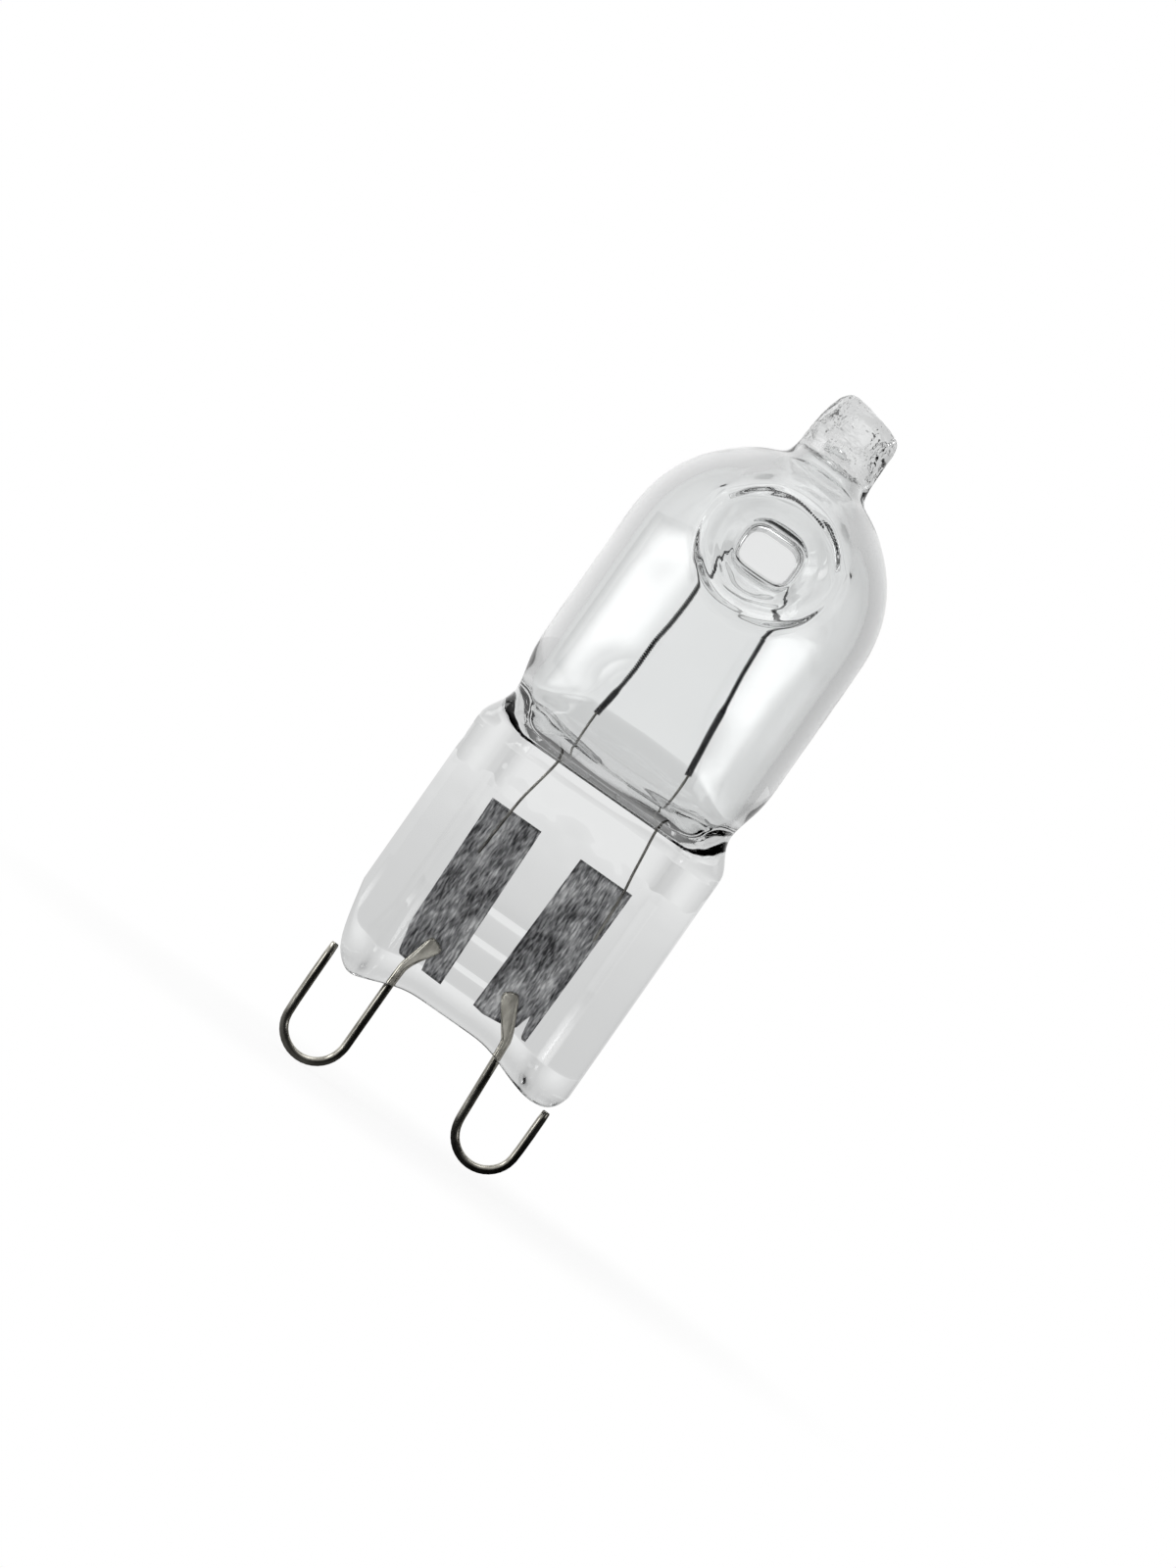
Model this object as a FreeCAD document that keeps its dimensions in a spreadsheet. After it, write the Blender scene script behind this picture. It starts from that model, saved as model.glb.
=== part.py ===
import FreeCAD, Part
import math
import os
import Sketcher

# Halogen capsule bulb with two contact loops
#
# One envelope of quartz glass holds everything: a tube with a dome and a sealed exhaust tip, a glass
# bridge where two dimples of the wall meet, and a flat pressed seal below. In the seal lie two
# foils. A bent contact loop reaches each foil from below and a thin lead leaves it upwards. The leads
# carry the filament, which passes over the glass bridge.
#
# All sizes are in millimetres. Z is the lamp's axis with the exhaust tip at the top, X runs across
# the two loops and Y through the thickness of the seal. The origin is the middle of the seal's
# bottom face, between the loops.

# Driving dimensions
SIZES = {
    # Bulb
    "bulb_diameter": 13.0,
    "bulb_wall": 0.8,
    "bulb_foot": 16.65,
    "dome_base": 24.2,
    "dome_rise": 6.4,
    # Exhaust tip
    "tip_diameter": 3.96,
    "tip_length": 3.8,
    "tip_taper": 0.6,
    "tip_taper_length": 1.5,
    "tip_slant": 11.0,
    "tip_flare": 0.45,
    "tip_bore": 1.2,
    "tip_bore_length": 2.1,
    "tip_bore_taper": 0.5,
    # Neck between the bulb and the seal, pressed flat from the round tube
    "neck_height": 14.2,
    "neck_inset": 0.5,
    "press_radius": 3.6,
    "press_slope": 80.0,
    "throat_slope": 75.0,
    "hollow_shoulder": 15.4,
    "hollow_end": 13.3,
    "hollow_end_width": 8.4,
    "hollow_end_depth": 0.5,
    # Glass bridge and the dimples that form it
    "bridge_height": 25.85,
    "bridge_diameter": 3.05,
    "bridge_length": 2.4,
    "bridge_root_diameter": 6.8,
    "bridge_root": 5.6,
    "dimple_gap": 1.5,
    "dimple_end_diameter": 2.2,
    "dimple_end": 0.3,
    "dimple_flare": 1.7,
    "dimple_mouth_diameter": 7.0,
    "dimple_mouth": 7.0,
    # Pressed seal
    "seal_margin": 0.55,
    "seal_shoulder": 12.45,
    "rail_thickness": 3.4,
    "rail_width": 1.85,
    "rail_flank": 0.3,
    "rail_round": 0.55,
    "web_thickness": 2.0,
    "web_edge": 5.4,
    "foot_drop": 0.95,
    "foot_round": 0.3,
    "left_foot": 4.85,
    "left_corner_rise": 3.4,
    "left_corner_inset": 0.9,
    "left_corner_drop": 0.2,
    "right_foot": 5.3,
    "right_corner_rise": 0.8,
    "right_corner_inset": 0.35,
    "right_corner_drop": 0.7,
    # Foils
    "foil_width": 2.85,
    "foil_length": 8.35,
    "foil_thickness": 0.05,
    "foil_edge_thickness": 0.015,
    "foil_feather": 0.15,
    "foil_base": 1.17,
    "foil_set_back": 0.06,
    "left_foil_place": 2.57,
    "left_foil_lean": 1.54,
    "right_foil_place": 2.29,
    "right_foil_lean": 1.39,
    # Contact loops
    "wire_diameter": 0.45,
    "loop_spacing": 9.3,
    "loop_shift": 0.1,
    "loop_width": 3.1,
    "loop_bend": 1.5,
    "left_loop_drop": 5.6,
    "left_free_end": 0.45,
    "left_leg_lean": 0.01,
    "left_wire_set": 25.0,
    "right_loop_drop": 5.17,
    "right_free_end": 1.0,
    "right_leg_lean": 0.25,
    "right_wire_set": 33.0,
    "wire_entry": 1.0,
    "wire_end": 0.55,
    "blade_width": 0.85,
    "blade_start": 0.2,
    "blade_length": 2.0,
    "blade_thickness": 0.24,
    # Inner leads
    "lead_diameter": 0.14,
    "lead_weld": 2.5,
    "lead_slope": 0.1,
    "lead_lift": 0.3,
    "left_lead_place": 3.0,
    "right_lead_place": 3.45,
    "lead_insert": 0.5,
    # Filament
    "left_filament_foot": 2.38,
    "right_filament_foot": 2.8,
    "filament_base": 15.3,
    "filament_diameter": 0.23,
    "filament_clearance": 0.01,
    # Press lines of the seal
    "rib_diameter": 0.24,
    "rib_height": 0.07,
    "rib_length": 1.7,
    "rib_first": 2.4,
    "rib_pitch": 1.49,
}
RIB_COUNT = 3
DOME_RINGS = 6

XY_PLANE, XZ_PLANE, YZ_PLANE = "XY_Plane", "XZ_Plane", "YZ_Plane"

doc = FreeCAD.newDocument("capsule_bulb")
sheet = doc.addObject("Spreadsheet::Sheet", "Sizes")
for row, (alias, size) in enumerate(SIZES.items(), start=1):
    sheet.set(f"A{row}", alias)
    sheet.set(f"B{row}", str(size))
    sheet.setAlias(f"B{row}", alias)
doc.recompute()


# Sketches


def value(expression):
    """Number that an expression on the sheet of sizes stands for."""
    number = sheet.evalExpression(str(expression))
    return float(getattr(number, "Value", number))


def new_body(name):
    return doc.addObject("PartDesign::Body", name)


def new_sketch(body, role, name):
    """Empty sketch on one of the body's own origin planes."""
    sketch = body.newObject("Sketcher::SketchObject", name)
    plane = next(feature for feature in body.Origin.OriginFeatures if feature.Role == role)
    sketch.AttachmentSupport = (plane, [""])
    sketch.MapMode = "FlatFace"
    return sketch


def pin_point(sketch, curve, point, x, y, label):
    """Holds one point of a curve at the place given by two expressions."""
    for kind, expression, axis in (("DistanceX", x, -2), ("DistanceY", y, -1)):
        number = value(expression)
        if abs(number) < 1e-9:
            sketch.addConstraint(Sketcher.Constraint("PointOnObject", curve, point, axis))
            continue
        if number > 0:
            constraint = Sketcher.Constraint(kind, -1, 1, curve, point, number)
        else:
            constraint = Sketcher.Constraint(kind, curve, point, -1, 1, -number)
            expression = f"-({expression})"
        size = sketch.addConstraint(constraint)
        name = f"{label}_{kind[-1].lower()}"
        sketch.renameConstraint(size, name)
        sketch.setExpression(f"Constraints.{name}", str(expression))


def hold_radius(sketch, curve, expression, name):
    """Holds the radius of an arc or a circle."""
    size = sketch.addConstraint(Sketcher.Constraint("Radius", curve, value(expression)))
    sketch.renameConstraint(size, name)
    sketch.setExpression(f"Constraints.{name}", str(expression))


def arc_between(start, finish, radius):
    """Arc of less than half a turn. It turns left for a positive radius and right for a negative one."""
    chord = finish - start
    side = FreeCAD.Vector(-chord.y, chord.x, 0).normalize() * math.copysign(1, radius)
    centre = (start + finish) / 2 + side * math.sqrt(radius**2 - (chord.Length / 2) ** 2)
    first, last = (start, finish) if radius > 0 else (finish, start)
    return Part.Arc(first, centre - side * abs(radius), last)


def ends_from(sketch, curve, start):
    """Numbers of a curve's ends in the order of travel, when travel begins at start."""
    forward = (sketch.Geometry[curve].StartPoint - start).Length < 1e-6
    return (1, 2) if forward else (2, 1)


def draw_profile(sketch, corners):
    """Closed profile through corners given as (x, y), or as (x, y, radius) where an arc leads there."""
    points = [FreeCAD.Vector(value(corner[0]), value(corner[1]), 0) for corner in corners]
    curves = []
    for number, corner in enumerate(corners):
        start, finish = points[number - 1], points[number]
        if len(corner) == 3:
            curve = sketch.addGeometry(arc_between(start, finish, value(corner[2])))
            hold_radius(sketch, curve, f"abs({corner[2]})", f"radius_{number}")
        else:
            curve = sketch.addGeometry(Part.LineSegment(start, finish))
        curves.append((curve, ends_from(sketch, curve, start)))
    for number, corner in enumerate(corners):
        curve, (_, last) = curves[number]
        following, (first, _) = curves[(number + 1) % len(corners)]
        sketch.addConstraint(Sketcher.Constraint("Coincident", curve, last, following, first))
        pin_point(sketch, curve, last, corner[0], corner[1], f"corner_{number}")


def draw_circle(sketch, x, y, diameter):
    centre = FreeCAD.Vector(value(x), value(y), 0)
    circle = Part.Circle(centre, FreeCAD.Vector(0, 0, 1), value(diameter) / 2)
    curve = sketch.addGeometry(circle)
    pin_point(sketch, curve, 3, x, y, "centre")
    hold_radius(sketch, curve, f"{diameter} / 2", "radius")


def draw_route(sketch, points, radii):
    """Open path of straight runs. Tangent arcs join them, or a sharp corner where the radius is None."""
    places = [FreeCAD.Vector(value(x), value(y), 0) for x, y in points]
    ways = [(finish - start).normalize() for start, finish in zip(places, places[1:])]
    guides = []
    for number, (start, finish) in enumerate(zip(places, places[1:])):
        guide = sketch.addGeometry(Part.LineSegment(start, finish), True)
        pin_point(sketch, guide, 2, *points[number + 1], f"point_{number + 1}")
        if guides:
            sketch.addConstraint(Sketcher.Constraint("Coincident", guides[-1], 2, guide, 1))
        else:
            pin_point(sketch, guide, 1, *points[0], "point_0")
        guides.append(guide)
    starts, finishes, arcs = [places[0]], [], [None]
    for place, radius, way, next_way in zip(places[1:], radii, ways, ways[1:]):
        bend = 0 if radius is None else value(radius)
        reach = bend * math.tan(way.getAngle(next_way) / 2)
        side = math.copysign(1, way.x * next_way.y - way.y * next_way.x)
        finishes.append(place - way * reach)
        starts.append(place + next_way * reach)
        arcs.append(arc_between(finishes[-1], starts[-1], bend * side) if bend else None)
    finishes.append(places[-1])
    arcs.append(None)
    runs = []
    for number, (guide, start, finish) in enumerate(zip(guides, starts, finishes)):
        run = sketch.addGeometry(Part.LineSegment(start, finish))
        runs.append(run)
        for end, arc in ((1, arcs[number]), (2, arcs[number + 1])):
            hold = ("PointOnObject", run, end, guide) if arc else ("Coincident", run, end, guide, end)
            sketch.addConstraint(Sketcher.Constraint(*hold))
    for number, (arc, radius) in enumerate(zip(arcs[1:], radii)):
        if arc:
            curve = sketch.addGeometry(arc)
            first, last = ends_from(sketch, curve, finishes[number])
            sketch.addConstraint(Sketcher.Constraint("Tangent", runs[number], 2, curve, first))
            sketch.addConstraint(Sketcher.Constraint("Tangent", curve, last, runs[number + 1], 1))
            hold_radius(sketch, curve, radius, f"bend_{number}")


# Solids


def bind(feature, **expressions):
    """Binds properties to expressions. A name has __ where the property has a dot."""
    for name, expression in expressions.items():
        feature.setExpression(name.replace("__", "."), str(expression))


def pad(body, sketch, name, length, symmetric=False):
    feature = body.newObject("PartDesign::Pad", name)
    feature.Profile = sketch
    feature.SideType = "Symmetric" if symmetric else "One side"
    bind(feature, Length=length)
    return feature


def revolve(body, sketch, name):
    """Full turn of a profile about the upright axis of its sketch."""
    feature = body.newObject("PartDesign::Revolution", name)
    feature.Profile = sketch
    feature.ReferenceAxis = (sketch, ["V_Axis"])
    feature.Angle = 360
    return feature


def rod(body, name, points, radii, diameter):
    """Round rod along a route in the XZ plane. The section lies square to the first run."""
    path = new_sketch(body, XZ_PLANE, f"{name}_path")
    draw_route(path, points, radii)
    section = new_sketch(body, XY_PLANE, f"{name}_section")
    (x, z), (next_x, next_z) = points[:2]
    lean = f"atan((({next_x}) - ({x})) / (({next_z}) - ({z})))"
    side = math.copysign(1, value(lean))
    turn = FreeCAD.Rotation(FreeCAD.Vector(0, side, 0), 1)
    section.AttachmentOffset = FreeCAD.Placement(FreeCAD.Vector(), turn)
    bind(
        section,
        AttachmentOffset__Base__x=x,
        AttachmentOffset__Base__z=z,
        AttachmentOffset__Rotation__Angle=f"abs({lean})",
    )
    draw_circle(section, 0, 0, diameter)
    doc.recompute()
    feature = body.newObject("PartDesign::AdditivePipe", name)
    feature.Profile = section
    feature.Spine = (path, [f"Edge{number + 1}" for number in range(len(path.Shape.Edges))])
    feature.Transition = "Right corner"
    return feature


def is_straight_along(edge, direction):
    if edge.Curve.TypeId != "Part::GeomLine":
        return False
    return abs(abs(edge.tangentAt(edge.FirstParameter).dot(direction)) - 1) < 1e-6


def round_edges(body, base, name, radius, test):
    """Fillet on the edges of a feature that pass a test."""
    doc.recompute()
    edges = [f"Edge{number}" for number, edge in enumerate(base.Shape.Edges, start=1) if test(edge)]
    feature = body.newObject("PartDesign::Fillet", name)
    feature.Base = (base, edges)
    bind(feature, Radius=radius)
    return feature


def join(name, pieces):
    feature = doc.addObject("Part::MultiFuse", name)
    feature.Shapes = pieces
    return feature


def overlap(name, pieces):
    feature = doc.addObject("Part::MultiCommon", name)
    feature.Shapes = pieces
    return feature


def cut(name, base, tool):
    feature = doc.addObject("Part::Cut", name)
    feature.Base = base
    feature.Tool = tool
    return feature


def pressed(name, turned, front, side):
    """Turned form pressed to its outlines: front in the XZ plane and side in the YZ plane."""
    plates = []
    for face, plane, corners in (("front", XZ_PLANE, front), ("side", YZ_PLANE, side)):
        plate = new_body(f"{name}_{face}_plate")
        outline = new_sketch(plate, plane, f"{name}_{face}_outline")
        draw_profile(outline, corners)
        pad(plate, outline, f"{name}_{face}_pad", "2 * Sizes.bulb_diameter", symmetric=True)
        plates.append(plate)
    return overlap(name, [turned, *plates])


# Places that several pieces share
BULB = "(Sizes.bulb_diameter / 2)"
DOME_TOP = "(Sizes.dome_base + Sizes.dome_rise)"
TIP_TOP = f"({DOME_TOP} + Sizes.tip_length)"
RAIL = "(Sizes.rail_thickness / 2)"
WEB = "(Sizes.web_thickness / 2)"
SEAL = "((Sizes.loop_spacing + Sizes.loop_width) / 2 + Sizes.seal_margin)"
NECK = f"({BULB} - Sizes.neck_inset)"
FOIL_TOP = "(Sizes.foil_base + Sizes.foil_length)"
FOIL_FACE = "(Sizes.foil_set_back - Sizes.foil_thickness / 2)"

# The press leaves a curve that meets the tube smoothly and then a straight slope down to the web
PRESS_Y = f"({BULB} - Sizes.press_radius)"
SLOPE_Y = f"({PRESS_Y} + Sizes.press_radius * cos(Sizes.press_slope))"
SLOPE_TOP = "(Sizes.bulb_foot - Sizes.press_radius * sin(Sizes.press_slope))"
CREASE = f"({SLOPE_TOP} - ({SLOPE_Y} - {WEB}) / tan(Sizes.press_slope))"


def dome_height(radius, wall="0"):
    """Height of the dome at a distance from the axis, at a depth below the outer face."""
    return (
        f"(Sizes.dome_base + (Sizes.dome_rise - {wall})"
        f" * sqrt(1 - (({radius}) / ({BULB} - {wall})) ^ 2))"
    )


def dome_corners(finish, wall="0"):
    """Corners of the dome's rings, on an ellipse from the wall of the tube in to a smaller radius."""
    side = f"({BULB} - {wall})"
    corners = []
    for ring in range(DOME_RINGS + 1):
        turn = f"(acos(({finish}) / {side}) * {ring} / {DOME_RINGS})"
        height = f"Sizes.dome_base + (Sizes.dome_rise - {wall}) * sin({turn})"
        corners.append((f"{side} * cos({turn})", height))
    return corners


def bulb_blank():
    """Outside of the bulb: tube, dome and exhaust tip turned as one form, then pressed at the neck."""
    body = new_body("bulb_blank")
    side, tip = BULB, "(Sizes.tip_diameter / 2)"
    tip_foot = f"({tip} + Sizes.tip_flare)"
    sketch = new_sketch(body, XZ_PLANE, "bulb_profile")
    draw_profile(
        sketch,
        [
            (0, CREASE),
            (side, CREASE),
            *dome_corners(tip_foot),
            (tip, f"{dome_height(tip)} + Sizes.tip_flare"),
            (tip, f"{TIP_TOP} - Sizes.tip_taper_length"),
            (f"{tip} - Sizes.tip_taper", TIP_TOP),
            (0, TIP_TOP),
        ],
    )
    revolve(body, sketch, "bulb_turn")
    inset, drop = "Sizes.neck_inset", "(Sizes.bulb_foot - Sizes.neck_height)"
    neck_curve = f"(({inset} ^ 2 + {drop} ^ 2) / (2 * {inset}))"
    blank = pressed(
        "pressed_bulb",
        body,
        [
            (f"-{NECK}", CREASE),
            (NECK, CREASE),
            (NECK, "Sizes.neck_height"),
            (side, "Sizes.bulb_foot", neck_curve),
            ("Sizes.bulb_diameter", TIP_TOP),
            ("-Sizes.bulb_diameter", TIP_TOP),
            (f"-{side}", "Sizes.bulb_foot"),
            (f"-{NECK}", "Sizes.neck_height", neck_curve),
        ],
        [
            (f"-{WEB}", CREASE),
            (WEB, CREASE),
            (SLOPE_Y, SLOPE_TOP),
            (side, "Sizes.bulb_foot", "Sizes.press_radius"),
            ("Sizes.bulb_diameter", TIP_TOP),
            ("-Sizes.bulb_diameter", TIP_TOP),
            (f"-{side}", "Sizes.bulb_foot"),
            (f"-{SLOPE_Y}", SLOPE_TOP, "Sizes.press_radius"),
        ],
    )
    # The tip was melted off at a slant that begins at its left edge, so it is lower on the right
    waste = doc.addObject("Part::Box", "tip_waste")
    waste.Placement.Rotation = FreeCAD.Rotation(FreeCAD.Vector(0, 1, 0), value("Sizes.tip_slant"))
    bind(
        waste,
        Length="2 * Sizes.tip_diameter",
        Width="2 * Sizes.tip_diameter",
        Height="Sizes.tip_diameter",
        Placement__Base__x="-Sizes.tip_diameter / 2",
        Placement__Base__y="-Sizes.tip_diameter",
        Placement__Base__z=TIP_TOP,
        Placement__Rotation__Angle="Sizes.tip_slant",
    )
    return cut("slanted_bulb", blank, waste)


def hollow_blank():
    """Space inside the bulb, with the sealed bore of the tip and the wedge towards the seal."""
    body = new_body("hollow_blank")
    wall = "Sizes.bulb_wall"
    side, bore = f"({BULB} - {wall})", "(Sizes.tip_bore / 2)"
    bore_end = f"({dome_height(bore, wall)} + Sizes.tip_bore_length)"
    sketch = new_sketch(body, XZ_PLANE, "hollow_profile")
    draw_profile(
        sketch,
        [
            (0, "Sizes.hollow_end"),
            (side, "Sizes.hollow_end"),
            *dome_corners(bore, wall),
            (bore, f"{bore_end} - Sizes.tip_bore_taper"),
            (0, bore_end),
        ],
    )
    revolve(body, sketch, "hollow_turn")
    end, edge = "(Sizes.hollow_end_width / 2)", "(Sizes.hollow_end_depth / 2)"
    inset, drop = f"({side} - {end})", "(Sizes.hollow_shoulder - Sizes.hollow_end)"
    end_curve = f"(({inset} ^ 2 + {drop} ^ 2) / (2 * {inset}))"
    throat_curve = f"(Sizes.press_radius - {wall})"
    throat = f"({PRESS_Y} + {throat_curve} * cos(Sizes.throat_slope))"
    throat_top = f"(Sizes.bulb_foot - {throat_curve} * sin(Sizes.throat_slope))"
    return pressed(
        "hollow",
        body,
        [
            (f"-{end}", "Sizes.hollow_end", end_curve),
            (end, "Sizes.hollow_end"),
            (side, "Sizes.hollow_shoulder", end_curve),
            ("Sizes.bulb_diameter", TIP_TOP),
            ("-Sizes.bulb_diameter", TIP_TOP),
            (f"-{side}", "Sizes.hollow_shoulder"),
        ],
        [
            (f"-{edge}", "Sizes.hollow_end"),
            (edge, "Sizes.hollow_end"),
            (throat, throat_top),
            (side, "Sizes.bulb_foot", throat_curve),
            ("Sizes.bulb_diameter", TIP_TOP),
            ("-Sizes.bulb_diameter", TIP_TOP),
            (f"-{side}", "Sizes.bulb_foot"),
            (f"-{throat}", throat_top, throat_curve),
        ],
    )


def seal_blank():
    """Pressed seal: its section of web and rails, trimmed to its outline with the feet."""
    section_body = new_body("seal_section")
    section = new_sketch(section_body, XY_PLANE, "seal_section_profile")
    inner = f"({SEAL} - Sizes.rail_width)"
    floor = f"({inner} - Sizes.rail_flank)"
    below = "(2 * Sizes.foot_drop)"
    bind(section, AttachmentOffset__Base__z=f"-{below}")
    quarter = [(SEAL, RAIL), (inner, RAIL), (floor, WEB)]
    right_back = list(quarter)
    left_back = [(f"-{x}", y) for x, y in reversed(quarter)]
    left_front = [(f"-{x}", f"-{y}") for x, y in quarter]
    right_front = [(x, f"-{y}") for x, y in reversed(quarter)]
    draw_profile(section, right_back + left_back + left_front + right_front)
    bar = pad(section_body, section, "seal_bar", f"Sizes.neck_height + {below}")
    upright = FreeCAD.Vector(0, 0, 1)
    half_thickness = value(RAIL)
    round_edges(
        section_body,
        bar,
        "rail_rounding",
        "Sizes.rail_round",
        lambda edge: is_straight_along(edge, upright)
        and abs(abs(edge.CenterOfMass.y) - half_thickness) < 1e-6,
    )

    outline_body = new_body("seal_outline")
    outline = new_sketch(outline_body, XZ_PLANE, "seal_outline_profile")
    edge = "(Sizes.web_edge / 2)"
    left_corner = f"({SEAL} - Sizes.left_corner_inset)"
    right_corner = f"({SEAL} - Sizes.right_corner_inset)"
    draw_profile(
        outline,
        [
            (f"-{edge}", 0),
            (edge, 0),
            ("Sizes.right_foot", "-Sizes.foot_drop"),
            (right_corner, "-Sizes.right_corner_drop"),
            (SEAL, "Sizes.right_corner_rise"),
            (SEAL, "Sizes.seal_shoulder"),
            (NECK, "Sizes.neck_height"),
            (f"-{NECK}", "Sizes.neck_height"),
            (f"-{SEAL}", "Sizes.seal_shoulder"),
            (f"-{SEAL}", "Sizes.left_corner_rise"),
            (f"-{left_corner}", "-Sizes.left_corner_drop"),
            ("-Sizes.left_foot", "-Sizes.foot_drop"),
        ],
    )
    plate = pad(outline_body, outline, "seal_plate", "2 * Sizes.rail_thickness", symmetric=True)
    through = FreeCAD.Vector(0, 1, 0)
    corner_line = value("Sizes.left_corner_rise") / 2
    round_edges(
        outline_body,
        plate,
        "foot_rounding",
        "Sizes.foot_round",
        lambda edge: is_straight_along(edge, through) and edge.CenterOfMass.z < corner_line,
    )
    return overlap("seal_blank", [section_body, outline_body])


def bridge_blank():
    """Glass bridge: a waisted bar through the bulb from front to back."""
    body = new_body("bridge_blank")
    neck, root = "(Sizes.bridge_diameter / 2)", "(Sizes.bridge_root_diameter / 2)"
    middle = "(Sizes.bridge_length / 2)"
    sketch = new_sketch(body, XY_PLANE, "bridge_profile")
    draw_profile(
        sketch,
        [
            (0, "-Sizes.bridge_root"),
            (root, "-Sizes.bridge_root"),
            (neck, f"-{middle}"),
            (neck, middle),
            (root, "Sizes.bridge_root"),
            (0, "Sizes.bridge_root"),
        ],
    )
    revolve(body, sketch, "bridge_turn")
    bind(body, Placement__Base__z="Sizes.bridge_height")
    return body


def dimple_blank(name, side):
    """Funnel that the dimple leaves in the wall. Side is -1 at the front and 1 at the back."""
    body = new_body(name)
    pit, mouth = "(Sizes.dimple_end_diameter / 2)", "(Sizes.dimple_mouth_diameter / 2)"
    tip = "(Sizes.dimple_gap / 2)"
    sketch = new_sketch(body, XY_PLANE, f"{name}_profile")
    draw_profile(
        sketch,
        [
            (0, f"{side} * {tip}"),
            (pit, f"{side} * ({tip} + Sizes.dimple_end)"),
            (pit, f"{side} * Sizes.dimple_flare"),
            (mouth, f"{side} * Sizes.dimple_mouth"),
            (0, f"{side} * Sizes.dimple_mouth"),
        ],
    )
    revolve(body, sketch, f"{name}_turn")
    bind(body, Placement__Base__z="Sizes.bridge_height")
    return body


def rib(number):
    """One fine press line across the front of the web, between the foils."""
    feature = doc.addObject("Part::Cylinder", f"rib_{number + 1}")
    feature.Placement.Rotation = FreeCAD.Rotation(FreeCAD.Vector(0, 1, 0), 90)
    bind(
        feature,
        Radius="Sizes.rib_diameter / 2",
        Height="Sizes.rib_length",
        Placement__Base__x="-Sizes.rib_length / 2 - Sizes.loop_shift",
        Placement__Base__y=f"-{WEB} - Sizes.rib_height + Sizes.rib_diameter / 2",
        Placement__Base__z=f"Sizes.rib_first + {number} * Sizes.rib_pitch",
    )
    return feature


def contact_loop(name, side):
    """U of round wire. Its inner leg enters the web and ends in a flat blade on the foil."""
    hand = name.split("_")[0]
    body = new_body(name)
    middle = f"(Sizes.loop_spacing / 2 + {side} * Sizes.loop_shift)"
    outer = f"({middle} + Sizes.loop_width / 2)"
    inner = f"({middle} - Sizes.loop_width / 2)"
    bottom = f"(Sizes.wire_diameter / 2 - Sizes.{hand}_loop_drop)"
    entry_x = f"({inner} - Sizes.{hand}_leg_lean)"
    angle = f"Sizes.{hand}_wire_set"

    def on_blade(reach, offset):
        """Place on the set-off inner end, by its distance from the bend and from its middle line."""
        x = f"{side} * ({entry_x} - {reach} * sin({angle}) + {offset} * cos({angle}))"
        return x, f"Sizes.wire_entry + {reach} * cos({angle}) + {offset} * sin({angle})"

    rod(
        body,
        f"{name}_wire",
        [
            (f"{side} * {outer}", f"-Sizes.{hand}_free_end"),
            (f"{side} * {outer}", bottom),
            (f"{side} * {inner}", bottom),
            (f"{side} * {entry_x}", "Sizes.wire_entry"),
            on_blade("Sizes.wire_end", "0"),
        ],
        ["Sizes.loop_bend", "Sizes.loop_bend", None],
        "Sizes.wire_diameter",
    )
    blade = new_sketch(body, XZ_PLANE, f"{name}_blade_outline")
    bind(blade, AttachmentOffset__Base__z=f"-{FOIL_FACE}")
    half = "(Sizes.blade_width / 2)"
    draw_profile(
        blade,
        [
            on_blade("Sizes.blade_start", f"-{half}"),
            on_blade("Sizes.blade_length", f"-{half}"),
            on_blade("Sizes.blade_length", half),
            on_blade("Sizes.blade_start", half),
        ],
    )
    pad(body, blade, f"{name}_blade", "Sizes.blade_thickness")
    return body


def foil_blank(name, side):
    """Thin foil with feathered long edges, leaning a little outwards at its top."""
    hand = name.split("_")[0]
    body = new_body(f"{name}_blank")
    half, edge = "(Sizes.foil_width / 2)", "(Sizes.foil_edge_thickness / 2)"
    flat, middle = f"({half} - Sizes.foil_feather)", "(Sizes.foil_thickness / 2)"
    sketch = new_sketch(body, XY_PLANE, f"{name}_section")
    draw_profile(
        sketch,
        [
            (half, f"-{edge}"),
            (half, edge),
            (flat, middle),
            (f"-{flat}", middle),
            (f"-{half}", edge),
            (f"-{half}", f"-{edge}"),
            (f"-{flat}", f"-{middle}"),
            (flat, f"-{middle}"),
        ],
    )
    pad(body, sketch, f"{name}_strip", "Sizes.foil_length")
    lean = f"Sizes.{hand}_foil_lean"
    body.Placement.Rotation = FreeCAD.Rotation(FreeCAD.Vector(0, side, 0), value(lean))
    bind(
        body,
        Placement__Base__x=f"{side} * (Sizes.{hand}_foil_place - Sizes.foil_length / 2 * sin({lean}))",
        Placement__Base__y="Sizes.foil_set_back",
        Placement__Base__z="Sizes.foil_base",
        Placement__Rotation__Angle=lean,
    )
    return body


def inner_lead(name, side):
    """Thin lead from its weld on the foil to the foot of the filament."""
    hand = name.split("_")[0]
    body = new_body(f"{name}_blank")
    place, foot = f"Sizes.{hand}_lead_place", f"Sizes.{hand}_filament_foot"
    rod(
        body,
        f"{name}_wire",
        [
            (f"{side} * ({place} + Sizes.lead_slope)", f"{FOIL_TOP} - Sizes.lead_weld"),
            (f"{side} * {place}", f"{FOIL_TOP} + Sizes.lead_lift"),
            (f"{side} * {foot}", "Sizes.hollow_end - Sizes.lead_lift"),
            (f"{side} * {foot}", "Sizes.filament_base + Sizes.lead_insert"),
        ],
        [None, None],
        "Sizes.lead_diameter",
    )
    return body


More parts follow.
